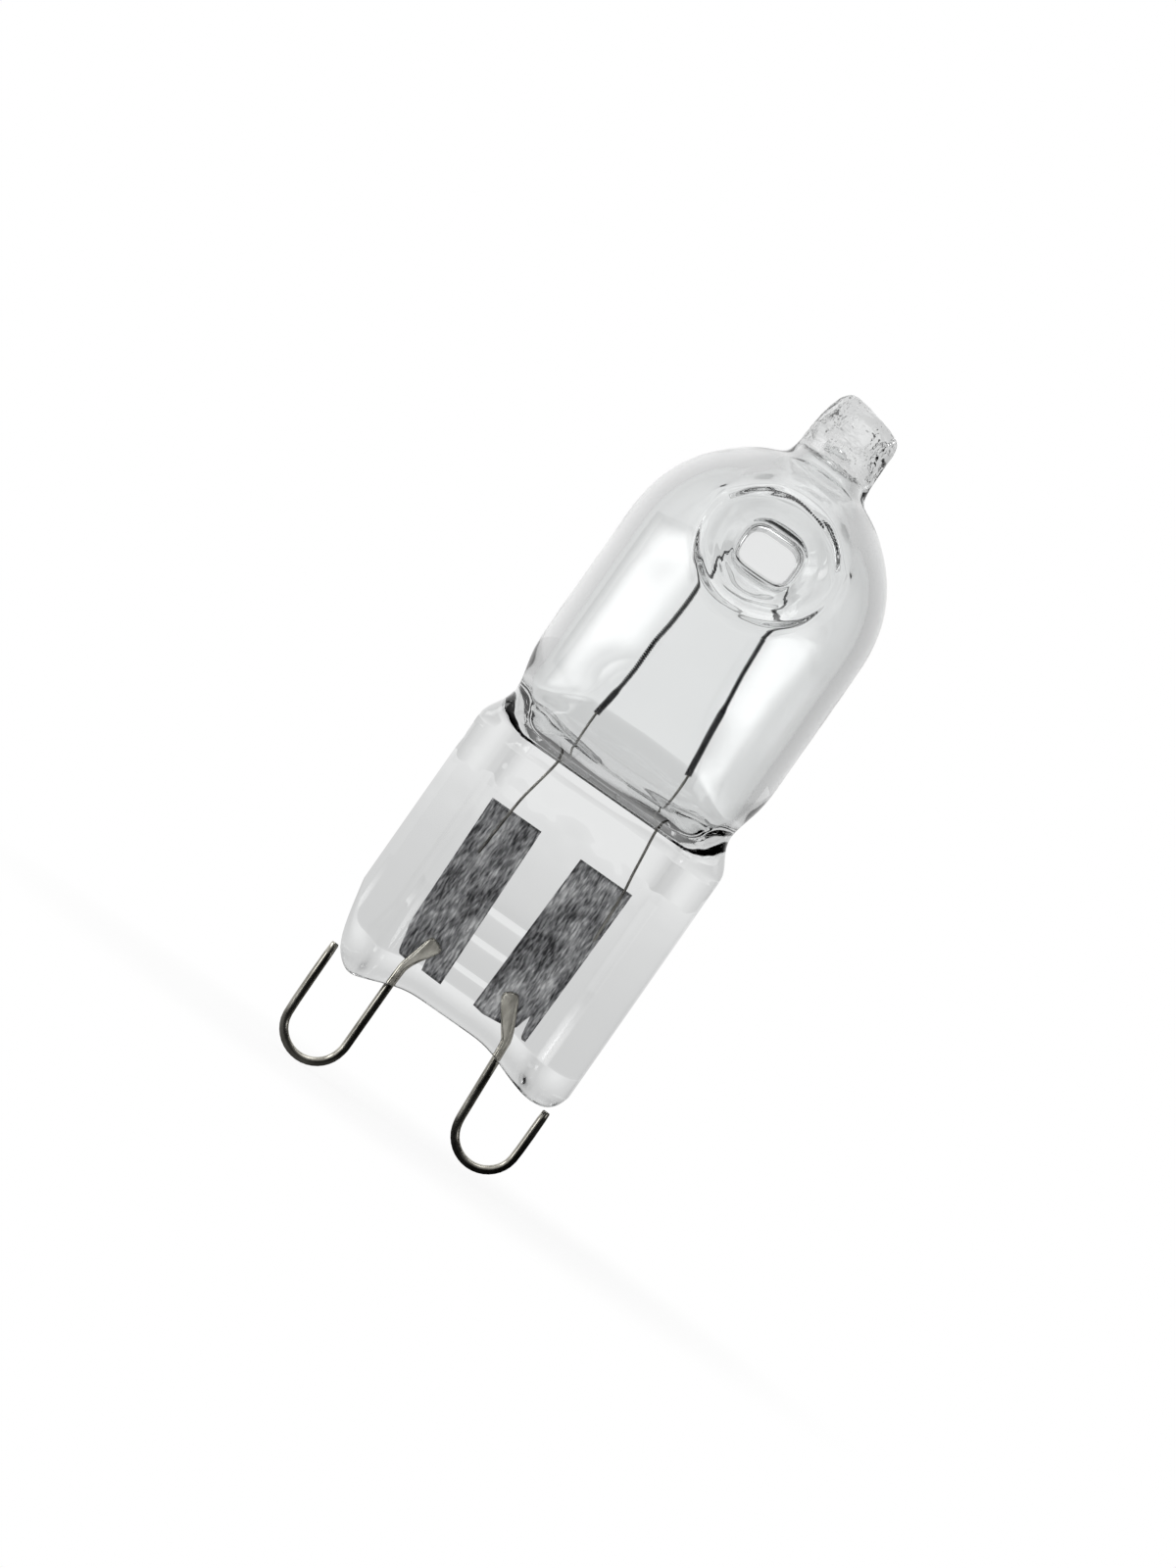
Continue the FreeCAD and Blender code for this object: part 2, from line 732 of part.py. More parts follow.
def filament_blank():
    """Coiled filament as one round rod: up one leg, over the bridge and down the other."""
    body = new_body("filament_blank")
    crest = "(Sizes.bridge_diameter / 2 + Sizes.filament_diameter / 2 + Sizes.filament_clearance)"
    top = f"(Sizes.bridge_height + {crest})"
    # Half the length of one side of the octagon that the arch follows
    half_side = f"({crest} * tan(45 / 2))"
    right = [
        (half_side, top),
        (crest, f"Sizes.bridge_height + {half_side}"),
        (crest, f"Sizes.bridge_height - {half_side}"),
        ("Sizes.right_filament_foot", "Sizes.filament_base"),
    ]
    left = [(f"-{x}", z) for x, z in reversed(right[:-1])]
    left.insert(0, ("-Sizes.left_filament_foot", "Sizes.filament_base"))
    route = left + right
    rod(body, "filament_rod", route, [None] * (len(route) - 2), "Sizes.filament_diameter")
    return body


HANDS = (("left", -1), ("right", 1))

# Metal pieces, each cut back to its seat on the piece that it is welded to
loops = [contact_loop(f"{hand}_contact_loop", side) for hand, side in HANDS]
foils = [
    cut(f"{hand}_foil", foil_blank(f"{hand}_foil", side), loop)
    for (hand, side), loop in zip(HANDS, loops)
]
leads = [
    cut(f"{hand}_inner_lead", inner_lead(f"{hand}_inner_lead", side), foil)
    for (hand, side), foil in zip(HANDS, foils)
]
filament = cut("filament", filament_blank(), join("lead_ends", leads))

# Glass, pressed and fused round the metal
outside = join("outside", [bulb_blank(), seal_blank()])
shell = cut("shell", outside, hollow_blank())
bridge = overlap("bridge", [bridge_blank(), outside])
ribs = [rib(number) for number in range(RIB_COUNT)]
bridged = join("bridged", [shell, bridge, *ribs])
dimples = join("dimples", [dimple_blank("front_dimple", -1), dimple_blank("back_dimple", 1)])
dimpled = cut("dimpled", bridged, dimples)
envelope = cut("glass_envelope", dimpled, join("metal", [*loops, *foils, *leads]))

doc.recompute()

pieces = [envelope, *loops, *foils, *leads, filament]
faulty = [item.Name for item in doc.Objects if {"Invalid", "Error"} & set(item.State)]
if faulty:
    raise RuntimeError("not built: " + ", ".join(faulty))
for piece in pieces:
    if piece.Shape.isNull() or not piece.Shape.isValid():
        raise RuntimeError(f"{piece.Label} has no valid shape")

os.makedirs("parts", exist_ok=True)
for piece in pieces:
    piece.Shape.exportStep(f"parts/{piece.Label}.step")
    print(f"{piece.Label}: {len(piece.Shape.Solids)} solid, {piece.Shape.Volume:.3f} mm3")
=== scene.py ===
import math

import bmesh
import bpy
from mathutils import Matrix, Vector, noise


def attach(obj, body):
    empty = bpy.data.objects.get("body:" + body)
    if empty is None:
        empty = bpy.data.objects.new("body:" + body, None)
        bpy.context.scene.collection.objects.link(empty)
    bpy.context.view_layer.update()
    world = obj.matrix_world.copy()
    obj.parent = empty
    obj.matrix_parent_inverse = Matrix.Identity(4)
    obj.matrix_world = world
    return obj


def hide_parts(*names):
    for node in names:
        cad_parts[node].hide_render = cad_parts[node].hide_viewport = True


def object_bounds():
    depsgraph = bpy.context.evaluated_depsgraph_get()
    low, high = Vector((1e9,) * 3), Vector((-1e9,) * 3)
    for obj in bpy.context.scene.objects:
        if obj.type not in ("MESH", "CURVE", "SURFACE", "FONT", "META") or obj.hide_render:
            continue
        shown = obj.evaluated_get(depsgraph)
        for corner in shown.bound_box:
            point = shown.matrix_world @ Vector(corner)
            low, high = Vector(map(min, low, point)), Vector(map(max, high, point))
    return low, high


# Halogen capsule bulb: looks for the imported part
#
# The part stands upright in its own frame. X runs across the two contact loops, Y through the
# thickness of the pressed seal, and the photograph looks from the front, -Y. Sizes of forms are in
# millimetres, and new_object, new_wire and add_spline turn them into metres.

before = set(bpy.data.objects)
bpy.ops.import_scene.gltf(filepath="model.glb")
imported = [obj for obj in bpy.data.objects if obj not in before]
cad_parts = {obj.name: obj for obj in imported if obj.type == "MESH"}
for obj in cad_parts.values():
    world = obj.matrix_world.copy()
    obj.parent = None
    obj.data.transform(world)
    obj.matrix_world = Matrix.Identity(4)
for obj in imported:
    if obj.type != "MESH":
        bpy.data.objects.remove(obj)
CAD_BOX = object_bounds()
MM = 0.001
TINY = 1e-6

# Glass tube, dome and exhaust tip
BULB_RADIUS = 6.5
WALL = 0.8
DOME_BASE = 24.2
DOME_RISE = 6.4
TIP_RADIUS = 1.98
TIP_TOP = 34.36
TIP_SHIFT, TIP_SHIFT_START = 0.1, 29.8
TIP_UNEVEN, TIP_UNEVEN_START, TIP_UNEVEN_SCALE = 0.05, 30.6, 1.3
TIP_SLANT, TIP_SLANT_START = math.tan(math.radians(11)), 32.2
TIP_LEAN, TIP_LEAN_START = 0.15, 32.5

# Neck, where the tube was pressed flat
NECK_TOP = 16.65
NECK_RADIUS = 6.0
NECK_BASE = 14.2
SEAL_SHOULDER = 12.35
PRESS_RADIUS = 3.6
PRESS_SLOPE = math.radians(80)
CREASE = 12.66

# Swollen end of the bulb between the rails, which run on beside it up to the tube
LEDGE_BASE, LEDGE_RISE = 13.1, 2.3
LEDGE_NARROW, LEDGE_WIDE = 4.2, 6.0
LEDGE_CURVE = 0.8
LEDGE_BLEND, LEDGE_BLEND_START = 1.5, 0.4

# Pressed seal
SEAL_HALF_WIDTH = 6.75
WEB_HALF_THICKNESS = 1.0
FOOT_LEVEL = 3.6
LIP_HEIGHT = 1.15
LIP_SHARE = 0.62
RIB_HEIGHTS = (2.4, 3.89, 5.38)
RIB_REACH = 1.25
RIB_HALF_WIDTH = 0.09
RIB_RISE = 0.07

# Gas space
GAS_RADIUS = BULB_RADIUS - WALL
GAS_BOTTOM = 13.5
GAS_SAG, GAS_SAG_RISE = 0.3, 2
GAS_HALF_WIDTH = 4.2
GAS_HALF_DEPTH = 0.25
GAS_SHOULDER = 15.4
THROAT_SLOPE = math.radians(75)
BUBBLE_PLACE = (-0.07, 0, 31.5)
BUBBLE_RADII = (0.58, 0.5, 0.27)

# Dimples and the bridge between them. Each mouth is nearly round, each pit a rounded rectangle.
BRIDGE_HEIGHT = 25.85
BRIDGE_WIDE = 1.58
BRIDGE_HIGH = 1.6
MOUTH_SIDE, MOUTH_TOP, MOUTH_FOOT = 3.6, 2.9, 3.45
MOUTH_WALL_SHARE = 0.2
OUTER_OPENING, INNER_OPENING = 3.0, 2.9
OPENING_HALF_HEIGHT = 2.6
FUNNEL_END = 4.1
PIT_WIDE = 1.52
PIT_HIGH = 1.12
PIT_END = 0.75
PIT_POWER = 4
BACK_PIT_DROP = 0.3


# Meshes


def new_object(name, bm, material, levels=0):
    """Makes a smooth object of a mesh in millimetres, with live subdivision where levels is set."""
    bmesh.ops.scale(bm, vec=Vector((MM, MM, MM)), verts=bm.verts)
    for face in bm.faces:
        face.smooth = True
    mesh = bpy.data.meshes.new(name)
    bm.to_mesh(mesh)
    bm.free()
    obj = bpy.data.objects.new(name, mesh)
    bpy.context.collection.objects.link(obj)
    mesh.materials.append(material)
    if levels:
        smooth = obj.modifiers.new("Subdivision", "SUBSURF")
        smooth.levels = smooth.render_levels = levels
    return obj


def first_loop(bm, count, radius, z):
    """Edges of a level circle, the first loop of a form."""
    made = bmesh.ops.create_circle(bm, cap_ends=False, radius=radius, segments=count)
    bmesh.ops.translate(bm, vec=Vector((0, 0, z)), verts=made["verts"])
    return list({edge for vert in made["verts"] for edge in vert.link_edges})


def extrude_loop(bm, loop, place):
    """Extrudes a closed loop of edges and moves each new point to where place(point) says."""
    made = bmesh.ops.extrude_edge_only(bm, edges=loop)["geom"]
    fresh = {item for item in made if isinstance(item, bmesh.types.BMVert)}
    for vert in fresh:
        vert.co = place(vert.co)
    edges = [item for item in made if isinstance(item, bmesh.types.BMEdge)]
    return [edge for edge in edges if fresh.issuperset(edge.verts)]


def raise_loop(bm, loop, radius, z):
    """Extrudes a round loop to another radius and height."""

    def place(co):
        flat = Vector((co.x, co.y, 0)).normalized() * radius
        return Vector((flat.x, flat.y, z))

    return extrude_loop(bm, loop, place)


def sweep(bm, loop, shift=(0, 0, 0), turn=0.0, about=(0, 0, 0), scale=(1, 1, 1)):
    """Extrudes a loop, scales it about its middle, turns it about a line along Y and shifts it."""
    points = {vert.co.to_tuple() for edge in loop for vert in edge.verts}
    middle = sum((Vector(point) for point in points), Vector()) / len(points)
    size = Matrix.Diagonal(scale)
    rotation = Matrix.Rotation(turn, 3, "Y")
    pivot = Vector(about)

    def place(co):
        sized = middle + size @ (co - middle)
        return pivot + rotation @ (sized - pivot) + Vector(shift)

    return extrude_loop(bm, loop, place)


def close_loop(bm, loop):
    bmesh.ops.edgeloop_fill(bm, edges=loop)


def close_flat(bm, loop):
    """Closes a loop with a strip of faces between its front half and its back half."""
    verts = {vert for edge in loop for vert in edge.verts}
    front = sorted((v for v in verts if v.co.y < -TINY), key=lambda v: v.co.x)
    back = sorted((v for v in verts if v.co.y > TINY), key=lambda v: v.co.x)
    ends = sorted((v for v in verts if abs(v.co.y) <= TINY), key=lambda v: v.co.x)
    for near, far in zip(zip(front, front[1:]), zip(back, back[1:])):
        bmesh.ops.contextual_create(bm, geom=[*near, *reversed(far)])
    for end, near, far in ((ends[0], front[0], back[0]), (ends[1], front[-1], back[-1])):
        bmesh.ops.contextual_create(bm, geom=[end, near, far])


def lerp(a, b, share):
    return a + (b - a) * share


def ease(share):
    share = min(max(share, 0.0), 1.0)
    return share * share * (3 - 2 * share)


def soft_min(a, b, power=6):
    """Lesser of two lengths, with a rounded change from one to the other."""
    if min(a, b) < TINY:
        return min(a, b)
    return (a**-power + b**-power) ** (-1 / power)


def height_on(line, x):
    """Height at x of a line of (x, height) points, straight between them."""
    for (x0, z0), (x1, z1) in zip(line, line[1:]):
        if x <= x1:
            return lerp(z0, z1, (x - x0) / (x1 - x0))
    return line[-1][1]


# Glass envelope

COLUMNS = 40

# One quarter of the seal's section, from its side over the rail to the middle of the web
SEAL_QUARTER = (
    (6.75, 0.0),
    (6.75, 0.9),
    (6.55, 1.34),
    (6.1, 1.57),
    (5.5, 1.66),
    (4.95, 1.47),
    (4.45, 1.14),
    (3.75, 1.0),
    (2.3, 1.0),
    (1.15, 1.0),
    (0.0, 1.0),
)

# Lower edge of the seal from left to right: a chamfered corner, a foot, the web, a foot, a corner
FOOT_LINE = (
    (-6.75, 3.1),
    (-6.45, 1.7),
    (-6.15, 0.3),
    (-5.8, -0.4),
    (-4.85, -0.98),
    (-3.9, -0.66),
    (-3.0, -0.22),
    (-2.3, -0.02),
    (2.3, -0.02),
    (3.2, -0.38),
    (4.2, -0.72),
    (5.2, -0.97),
    (6.0, -0.9),
    (6.5, -0.62),
    (6.75, 0.2),
)

# Heights of the rows of points on the outside up to the tip; the press lines add their own
OUTER_ROWS = (0.0, 0.12, 0.45, 0.8, LIP_HEIGHT, 1.6, 3.1, 4.6, 6.4, 8.2, 10.0, 11.3, 12.0)
OUTER_ROWS += (SEAL_SHOULDER, 12.56, CREASE, 12.8, 12.95, 13.1, 13.3, 13.55, 13.9, 14.4, 15.0)
OUTER_ROWS += (15.8, NECK_TOP, 18.4, 20.2, 21.7, 22.55, 23.65, 24.75, 25.85, 26.95, 28.05)
OUTER_ROWS += (29.15, 29.75)

# Radius and height of each row of the tip
TIP_ROWS = ((2.62, 30.05), (2.24, 30.22), (2.04, 30.55), (TIP_RADIUS, 31.2), (TIP_RADIUS, 32.2))
TIP_ROWS += ((TIP_RADIUS, 33.1), (1.96, 33.7), (1.84, 34.1), (1.55, 34.3), (1.0, TIP_TOP))

# Heights of the rows of the gas space, then radius and height of each row of the tip's bore
INNER_ROWS = (13.58, 13.7, 13.9, 14.2, 14.7, GAS_SHOULDER, 16.0, NECK_TOP, 18.4, 20.2, 21.4)
INNER_ROWS += (22.55, 23.65, 24.75, 25.85, 26.95, 28.05, 29.15)
BORE_ROWS = ((2.3, 29.42), (1.8, 29.72), (1.5, 30.05), (1.34, 30.45), (1.28, 30.75))
BORE_ROWS += ((1.12, 30.98), (0.75, 31.08), (0.3, 31.12))

# Steps of a dimple's funnel: shares of the way in to the pit's edge and down to the funnel's end
OUTER_FUNNEL = ((0.1, 0.012), (0.2, 0.05), (0.32, 0.17), (0.46, 0.36), (0.62, 0.6))
OUTER_FUNNEL += ((0.78, 0.83), (0.9, 0.99), (0.97, 1.1), (0.995, 1.3))
INNER_FUNNEL = ((0.1, 0.012), (0.2, 0.05), (0.33, 0.17), (0.47, 0.36), (0.63, 0.6))
INNER_FUNNEL += ((0.79, 0.83), (0.91, 0.97), (0.98, 1.08))
INNER_FUNNEL_END = 3.45
INNER_FUNNEL_MORE = 0.17

# Steps of a pit: share of its width and height, and distance from the bulb's middle plane
PIT_STEPS = ((1.0, 2.6), (1.0, 1.3), (0.99, 0.92), (0.96, 0.79), (0.9, PIT_END), (0.4, PIT_END))

# Steps of the bridge: what its half width has more than at the middle, and distance from there
BRIDGE_STEPS = ((0.14, 2.8), (0.1, 2.1), (0.06, 1.4), (0.03, 0.8), (0.0, 0.3))


def seal_point(co):
    """Place in the seal's section of a point of the round tube."""
    quarter = COLUMNS // 4
    column = round(math.atan2(abs(co.y), abs(co.x)) / (2 * math.pi / COLUMNS))
    x, y = SEAL_QUARTER[min(column, quarter)]
    return math.copysign(x, co.x), math.copysign(y, co.y) if y else 0.0


def press_depth(z):
    """Half the thickness that the press leaves at a height of the neck."""
    centre = BULB_RADIUS - PRESS_RADIUS
    slope_top = NECK_TOP - PRESS_RADIUS * math.sin(PRESS_SLOPE)
    if z >= slope_top:
        return centre + math.sqrt(PRESS_RADIUS**2 - (NECK_TOP - z) ** 2)
    depth = centre + PRESS_RADIUS * math.cos(PRESS_SLOPE)
    return max(depth - (slope_top - z) * math.tan(PRESS_SLOPE), WEB_HALF_THICKNESS)


def neck_half_width(z):
    if z > NECK_BASE:
        share = ease((z - NECK_BASE) / (NECK_TOP - NECK_BASE))
        return lerp(NECK_RADIUS, BULB_RADIUS, share)
    share = ease((z - SEAL_SHOULDER) / (NECK_BASE - SEAL_SHOULDER))
    return lerp(SEAL_HALF_WIDTH, NECK_RADIUS, share)


def ledge_end(z):
    """Half width of the swollen end of the bulb at a height."""
    rise = max(z - LEDGE_BASE, 0.0) / LEDGE_RISE
    return lerp(LEDGE_NARROW, LEDGE_WIDE, rise**LEDGE_CURVE)


def pressed(co):
    """Place of a point of the round tube once the press has closed on it."""
    x, y = seal_point(co)
    if co.z >= NECK_TOP:
        return co
    half_width = neck_half_width(co.z)
    if co.z > CREASE:
        share = 1 - ease((co.z - CREASE) / (NECK_TOP - CREASE))
        out = lerp(co.x * half_width / BULB_RADIUS, x * half_width / SEAL_HALF_WIDTH, share)
        depth = max(soft_min(abs(co.y), press_depth(co.z)), abs(y))
        rail = lerp(abs(y), abs(co.y), 1 - share)
        beside = ease((abs(out) - ledge_end(co.z) + LEDGE_BLEND_START) / LEDGE_BLEND)
        depth = lerp(depth, min(depth, rail), beside)
        return Vector((out, math.copysign(depth, co.y) if y else 0.0, co.z))
    z = co.z
    if z < FOOT_LEVEL:
        z = lerp(height_on(FOOT_LINE, x), FOOT_LEVEL, z / FOOT_LEVEL)
        y *= lerp(LIP_SHARE, 1, ease(co.z / LIP_HEIGHT))
    x *= half_width / SEAL_HALF_WIDTH
    is_rib = any(abs(co.z - height) < TINY for height in RIB_HEIGHTS)
    if is_rib and y < 0 and abs(x) < RIB_REACH:
        y -= RIB_RISE
    return Vector((x, y, z))


def melted(co):
    """Place of a point of the tip's outside once the tip was melted off, a little uneven."""
    lean = max(co.z - TIP_LEAN_START, 0.0) * TIP_LEAN * (TIP_RADIUS - co.x) / TIP_RADIUS
    lean += TIP_SHIFT * ease(co.z - TIP_SHIFT_START)
    slant = max(co.z - TIP_SLANT_START, 0.0) / (TIP_TOP - TIP_SLANT_START)
    drop = slant * TIP_SLANT * (co.x + TIP_RADIUS)
    uneven = TIP_UNEVEN * noise.noise(co * TIP_UNEVEN_SCALE)
    uneven *= min(max(co.z - TIP_UNEVEN_START, 0.0), 1.0)
    girth = 1 - abs(uneven)
    return Vector((co.x * girth + lean, co.y * girth, co.z - drop))


def dome_radius(z, wall=0.0):
    """Radius of the tube or its elliptic dome at a height, at a depth below the outer face."""
    share = max(z - DOME_BASE, 0.0) / (DOME_RISE - wall)
    return (BULB_RADIUS - wall) * math.sqrt(max(1 - share**2, 0.0))


def open_patch(bm, hand, half_width):
    """Opens the wall at one dimple. Hand is -1 at the front and 1 at the back."""
    inside = [
        vert
        for vert in bm.verts
        if vert.co.y * hand > 0
        and abs(vert.co.x) < half_width
        and abs(vert.co.z - BRIDGE_HEIGHT) < OPENING_HALF_HEIGHT
    ]
    rim = {edge for vert in inside for face in vert.link_faces for edge in face.edges}
    rim = [edge for edge in rim if not set(edge.verts) & set(inside)]
    bmesh.ops.delete(bm, geom=inside, context="VERTS")
    return rim


def rim_radius(angle, wall):
    """Radius of a dimple's mouth on the bulb's face: wide at the sides and below, less above."""
    rise = math.sin(angle)
    upright = MOUTH_TOP if rise > 0 else MOUTH_FOOT
    return lerp(MOUTH_SIDE, upright, ease(abs(rise))) + MOUTH_WALL_SHARE * wall


def round_rim(rim, hand, wall):
    """Makes the rim of a dimple round on the face of the bulb."""
    for vert in {vert for edge in rim for vert in edge.verts}:
        angle = math.atan2(vert.co.z - BRIDGE_HEIGHT, vert.co.x)
        radius = rim_radius(angle, wall)
        x, z = radius * math.cos(angle), BRIDGE_HEIGHT + radius * math.sin(angle)
        vert.co = Vector((x, hand * math.sqrt(dome_radius(z, wall) ** 2 - x**2), z))


def funnel_step(hand, wall, wide, high, depth, inwards=1.0, along=1.0, drop=0.0):
    """Move of a funnel's point by shares of its way in to a rounded rectangle and to a depth."""

    def place(co):
        out = Vector((co.x, 0, co.z - BRIDGE_HEIGHT))
        angle = math.atan2(out.z, out.x)
        across, up = abs(math.cos(angle) / wide), abs(math.sin(angle) / high)
        reach = (across**PIT_POWER + up**PIT_POWER) ** (-1 / PIT_POWER)
        flat = out.normalized() * lerp(rim_radius(angle, wall), reach, inwards)
        face = math.sqrt(dome_radius(BRIDGE_HEIGHT + flat.z, wall) ** 2 - flat.x**2)
        y = hand * lerp(face, depth, along)
        return Vector((flat.x, y, BRIDGE_HEIGHT - drop + flat.z))

    return place


def sink_dimple(bm, hand):
    """Outside of one dimple: a funnel that ends in a flat pit, which starts lower at the back."""
    loop = open_patch(bm, hand, OUTER_OPENING)
    round_rim(loop, hand, 0.0)
    for inwards, along in OUTER_FUNNEL:
        step = funnel_step(hand, 0.0, PIT_WIDE, PIT_HIGH, FUNNEL_END, inwards, along)
        loop = extrude_loop(bm, loop, step)
    drop = BACK_PIT_DROP if hand > 0 else 0.0
    for share, depth in PIT_STEPS:
        step = funnel_step(hand, 0.0, PIT_WIDE * share, PIT_HIGH * share, depth, drop=drop)
        loop = extrude_loop(bm, loop, step)
        drop = 0.0
    close_loop(bm, loop)


def outer_skin(bm):
    """Tube, pressed below into the neck and the seal, drawn in above to the dome and the tip."""
    rows = list(OUTER_ROWS)
    for height in RIB_HEIGHTS:
        rows += [height - RIB_HALF_WIDTH, height, height + RIB_HALF_WIDTH]
    rows.sort()
    loop = bottom = first_loop(bm, COLUMNS, BULB_RADIUS, rows[0])
    for z in rows[1:]:
        loop = raise_loop(bm, loop, dome_radius(z), z)
    for radius, z in TIP_ROWS:
        loop = raise_loop(bm, loop, radius, z)
    close_loop(bm, loop)
    for vert in bm.verts:
        vert.co = melted(pressed(vert.co))
    close_flat(bm, bottom)
    sink_dimple(bm, -1)
    sink_dimple(bm, 1)


def gas_space(co):
    """Place of a point of the round gas space once the press has closed on its lower end."""
    if co.z >= NECK_TOP:
        return co
    curve = PRESS_RADIUS - WALL
    centre = BULB_RADIUS - PRESS_RADIUS
    throat_top = NECK_TOP - curve * math.sin(THROAT_SLOPE)
    if co.z > throat_top:
        depth = centre + math.sqrt(curve**2 - (NECK_TOP - co.z) ** 2)
    else:
        throat = centre + curve * math.cos(THROAT_SLOPE)
        depth = lerp(GAS_HALF_DEPTH, throat, (co.z - GAS_BOTTOM) / (throat_top - GAS_BOTTOM))
    inset, drop = GAS_RADIUS - GAS_HALF_WIDTH, GAS_SHOULDER - GAS_BOTTOM
    side = (inset**2 + drop**2) / (2 * inset)
    below = max(GAS_SHOULDER - co.z, 0.0)
    width = GAS_RADIUS - side + math.sqrt(side**2 - below**2)
    low = 1 - ease((co.z - GAS_BOTTOM) / GAS_SAG_RISE)
    sag = GAS_SAG * (1 - (co.x / GAS_RADIUS) ** 2) * low
    y = math.copysign(soft_min(abs(co.y), depth), co.y) if abs(co.y) > TINY else 0.0
    return Vector((co.x * width / GAS_RADIUS, y, co.z - sag))


def inner_skin(bm):
    """Wall of the gas space, with the tip's sealed bore, a bubble above it and the glass bridge."""
    loop = bottom = first_loop(bm, COLUMNS, GAS_RADIUS, GAS_BOTTOM)
    for z in INNER_ROWS:
        loop = raise_loop(bm, loop, dome_radius(z, WALL), z)
    for radius, z in BORE_ROWS:
        loop = raise_loop(bm, loop, radius, z)
    close_loop(bm, loop)
    bubble = Matrix.Translation(BUBBLE_PLACE) @ Matrix.Diagonal((*BUBBLE_RADII, 1))
    bmesh.ops.create_uvsphere(bm, u_segments=12, v_segments=8, radius=1.0, matrix=bubble)
    for vert in bm.verts:
        vert.co = gas_space(vert.co)
    close_flat(bm, bottom)
    rims = {}
    for hand in (-1, 1):
        rims[hand] = open_patch(bm, hand, INNER_OPENING)
        round_rim(rims[hand], hand, WALL)
    ends = []
    for hand, loop in rims.items():
        wide = BRIDGE_WIDE + INNER_FUNNEL_MORE
        for inwards, along in INNER_FUNNEL:
            step = funnel_step(hand, WALL, wide, BRIDGE_HIGH, INNER_FUNNEL_END, inwards, along)
            loop = extrude_loop(bm, loop, step)
        for more, depth in BRIDGE_STEPS:
            step = funnel_step(hand, WALL, BRIDGE_WIDE + more, BRIDGE_HIGH, depth)
            loop = extrude_loop(bm, loop, step)
        ends += loop
    bmesh.ops.bridge_loops(bm, edges=ends)


def glass_envelope(material):
    """One piece of quartz glass: the closed outer skin and the closed skin of the gas space."""
    bm = bmesh.new()
    inner_skin(bm)
    bmesh.ops.recalc_face_normals(bm, faces=bm.faces)
    bmesh.ops.reverse_faces(bm, faces=bm.faces)
    inner = bpy.data.meshes.new("gas_space")
    bm.to_mesh(inner)
    bm.free()
    bm = bmesh.new()
    outer_skin(bm)
    bmesh.ops.recalc_face_normals(bm, faces=bm.faces)
    bm.from_mesh(inner)
    bpy.data.meshes.remove(inner)
    return new_object("envelope_glass", bm, material, levels=2)


# Contact loops

WIRE_RADIUS = 0.225
WIRE_SIDES = 16
BEND_STEPS = 10
CHAMFER, CHAMFER_SHARE = 0.04, 0.8
BEND_END = 0.02
ENTRY_HEIGHT = 0.55

# Steps of each flattened end: x, z, width and thickness as shares of the round wire's, and y
LEFT_BLADE = (
    (-2.98, 0.72, 1.0, 1.0, 0.0),
    (-2.86, 1.1, 1.05, 0.85, -0.04),
    (-2.62, 1.65, 1.4, 0.6, -0.1),
    (-2.38, 2.2, 1.8, 0.42, -0.12),
    (-2.2, 2.6, 2.1, 0.4, -0.12),
)
RIGHT_BLADE = (
    (2.95, 0.72, 1.1, 0.95, 0.0),
    (2.68, 1.15, 1.4, 0.7, -0.04),
    (2.3, 1.75, 1.75, 0.5, -0.1),
    (1.98, 2.3, 1.85, 0.42, -0.12),
    (1.78, 2.68, 1.8, 0.4, -0.12),
)

# Side, x of the outer and the inner leg, depth of the free end and of the bend below z 0, and how
# far the inner leg leans towards the middle
CONTACT_LOOPS = (
    ("left_contact_loop", -1, 6.1, 3.0, 0.1, 5.6, 0.01, LEFT_BLADE),
    ("right_contact_loop", 1, 6.3, 3.2, 0.9, 5.17, 0.25, RIGHT_BLADE),
)


def contact_loop(name, material, side, outer, inner, free_end, drop, lean, blade):
    """U of round wire from its free end to the flattened blade that is welded to the foil."""
    bm = bmesh.new()
    loop = first_loop(bm, WIRE_SIDES, WIRE_RADIUS * CHAMFER_SHARE, -free_end)
    bmesh.ops.translate(bm, vec=Vector((side * outer, 0, 0)), verts=bm.verts)
    close_loop(bm, loop)
    full = 1 / CHAMFER_SHARE
    loop = sweep(bm, loop, (0, 0, -CHAMFER), scale=(full, full, 1))
    radius = (outer - inner) / 2
    centre = (side * (outer - radius), 0, radius + WIRE_RADIUS - drop)
    loop = sweep(bm, loop, (0, 0, centre[2] + free_end + CHAMFER))
    for _ in range(BEND_STEPS):
        loop = sweep(bm, loop, turn=side * math.pi / BEND_STEPS, about=centre)
    x, z = side * inner, centre[2]
    entry_x, entry_z = side * (inner - lean), ENTRY_HEIGHT
    tilt = math.atan2(entry_x - x, entry_z - z)
    loop = sweep(bm, loop, turn=tilt, about=(x, 0, z), shift=(0, 0, BEND_END))
    loop = sweep(bm, loop, (entry_x - x, 0, entry_z - z))
    place, heading = Vector((entry_x, 0, entry_z)), tilt
    size, depth = 1.0, 1.0
    for next_x, next_z, wide, flat, y in blade:
        target = Vector((next_x, y, next_z))
        way = math.atan2(target.x - place.x, target.z - place.z)
        turned = Matrix.Rotation(way, 3, "Y") @ Matrix.Diagonal((wide / size, flat / depth, 1))
        turned = turned @ Matrix.Rotation(-heading, 3, "Y")

        def lay(co, start=place.copy(), goal=target, matrix=turned):
            return goal + matrix @ (co - start)

        loop = extrude_loop(bm, loop, lay)
        place, heading, size, depth = target, way, wide, flat
    close_loop(bm, loop)
    bmesh.ops.recalc_face_normals(bm, faces=bm.faces)
    return new_object(name, bm, material, levels=1)


# Foils

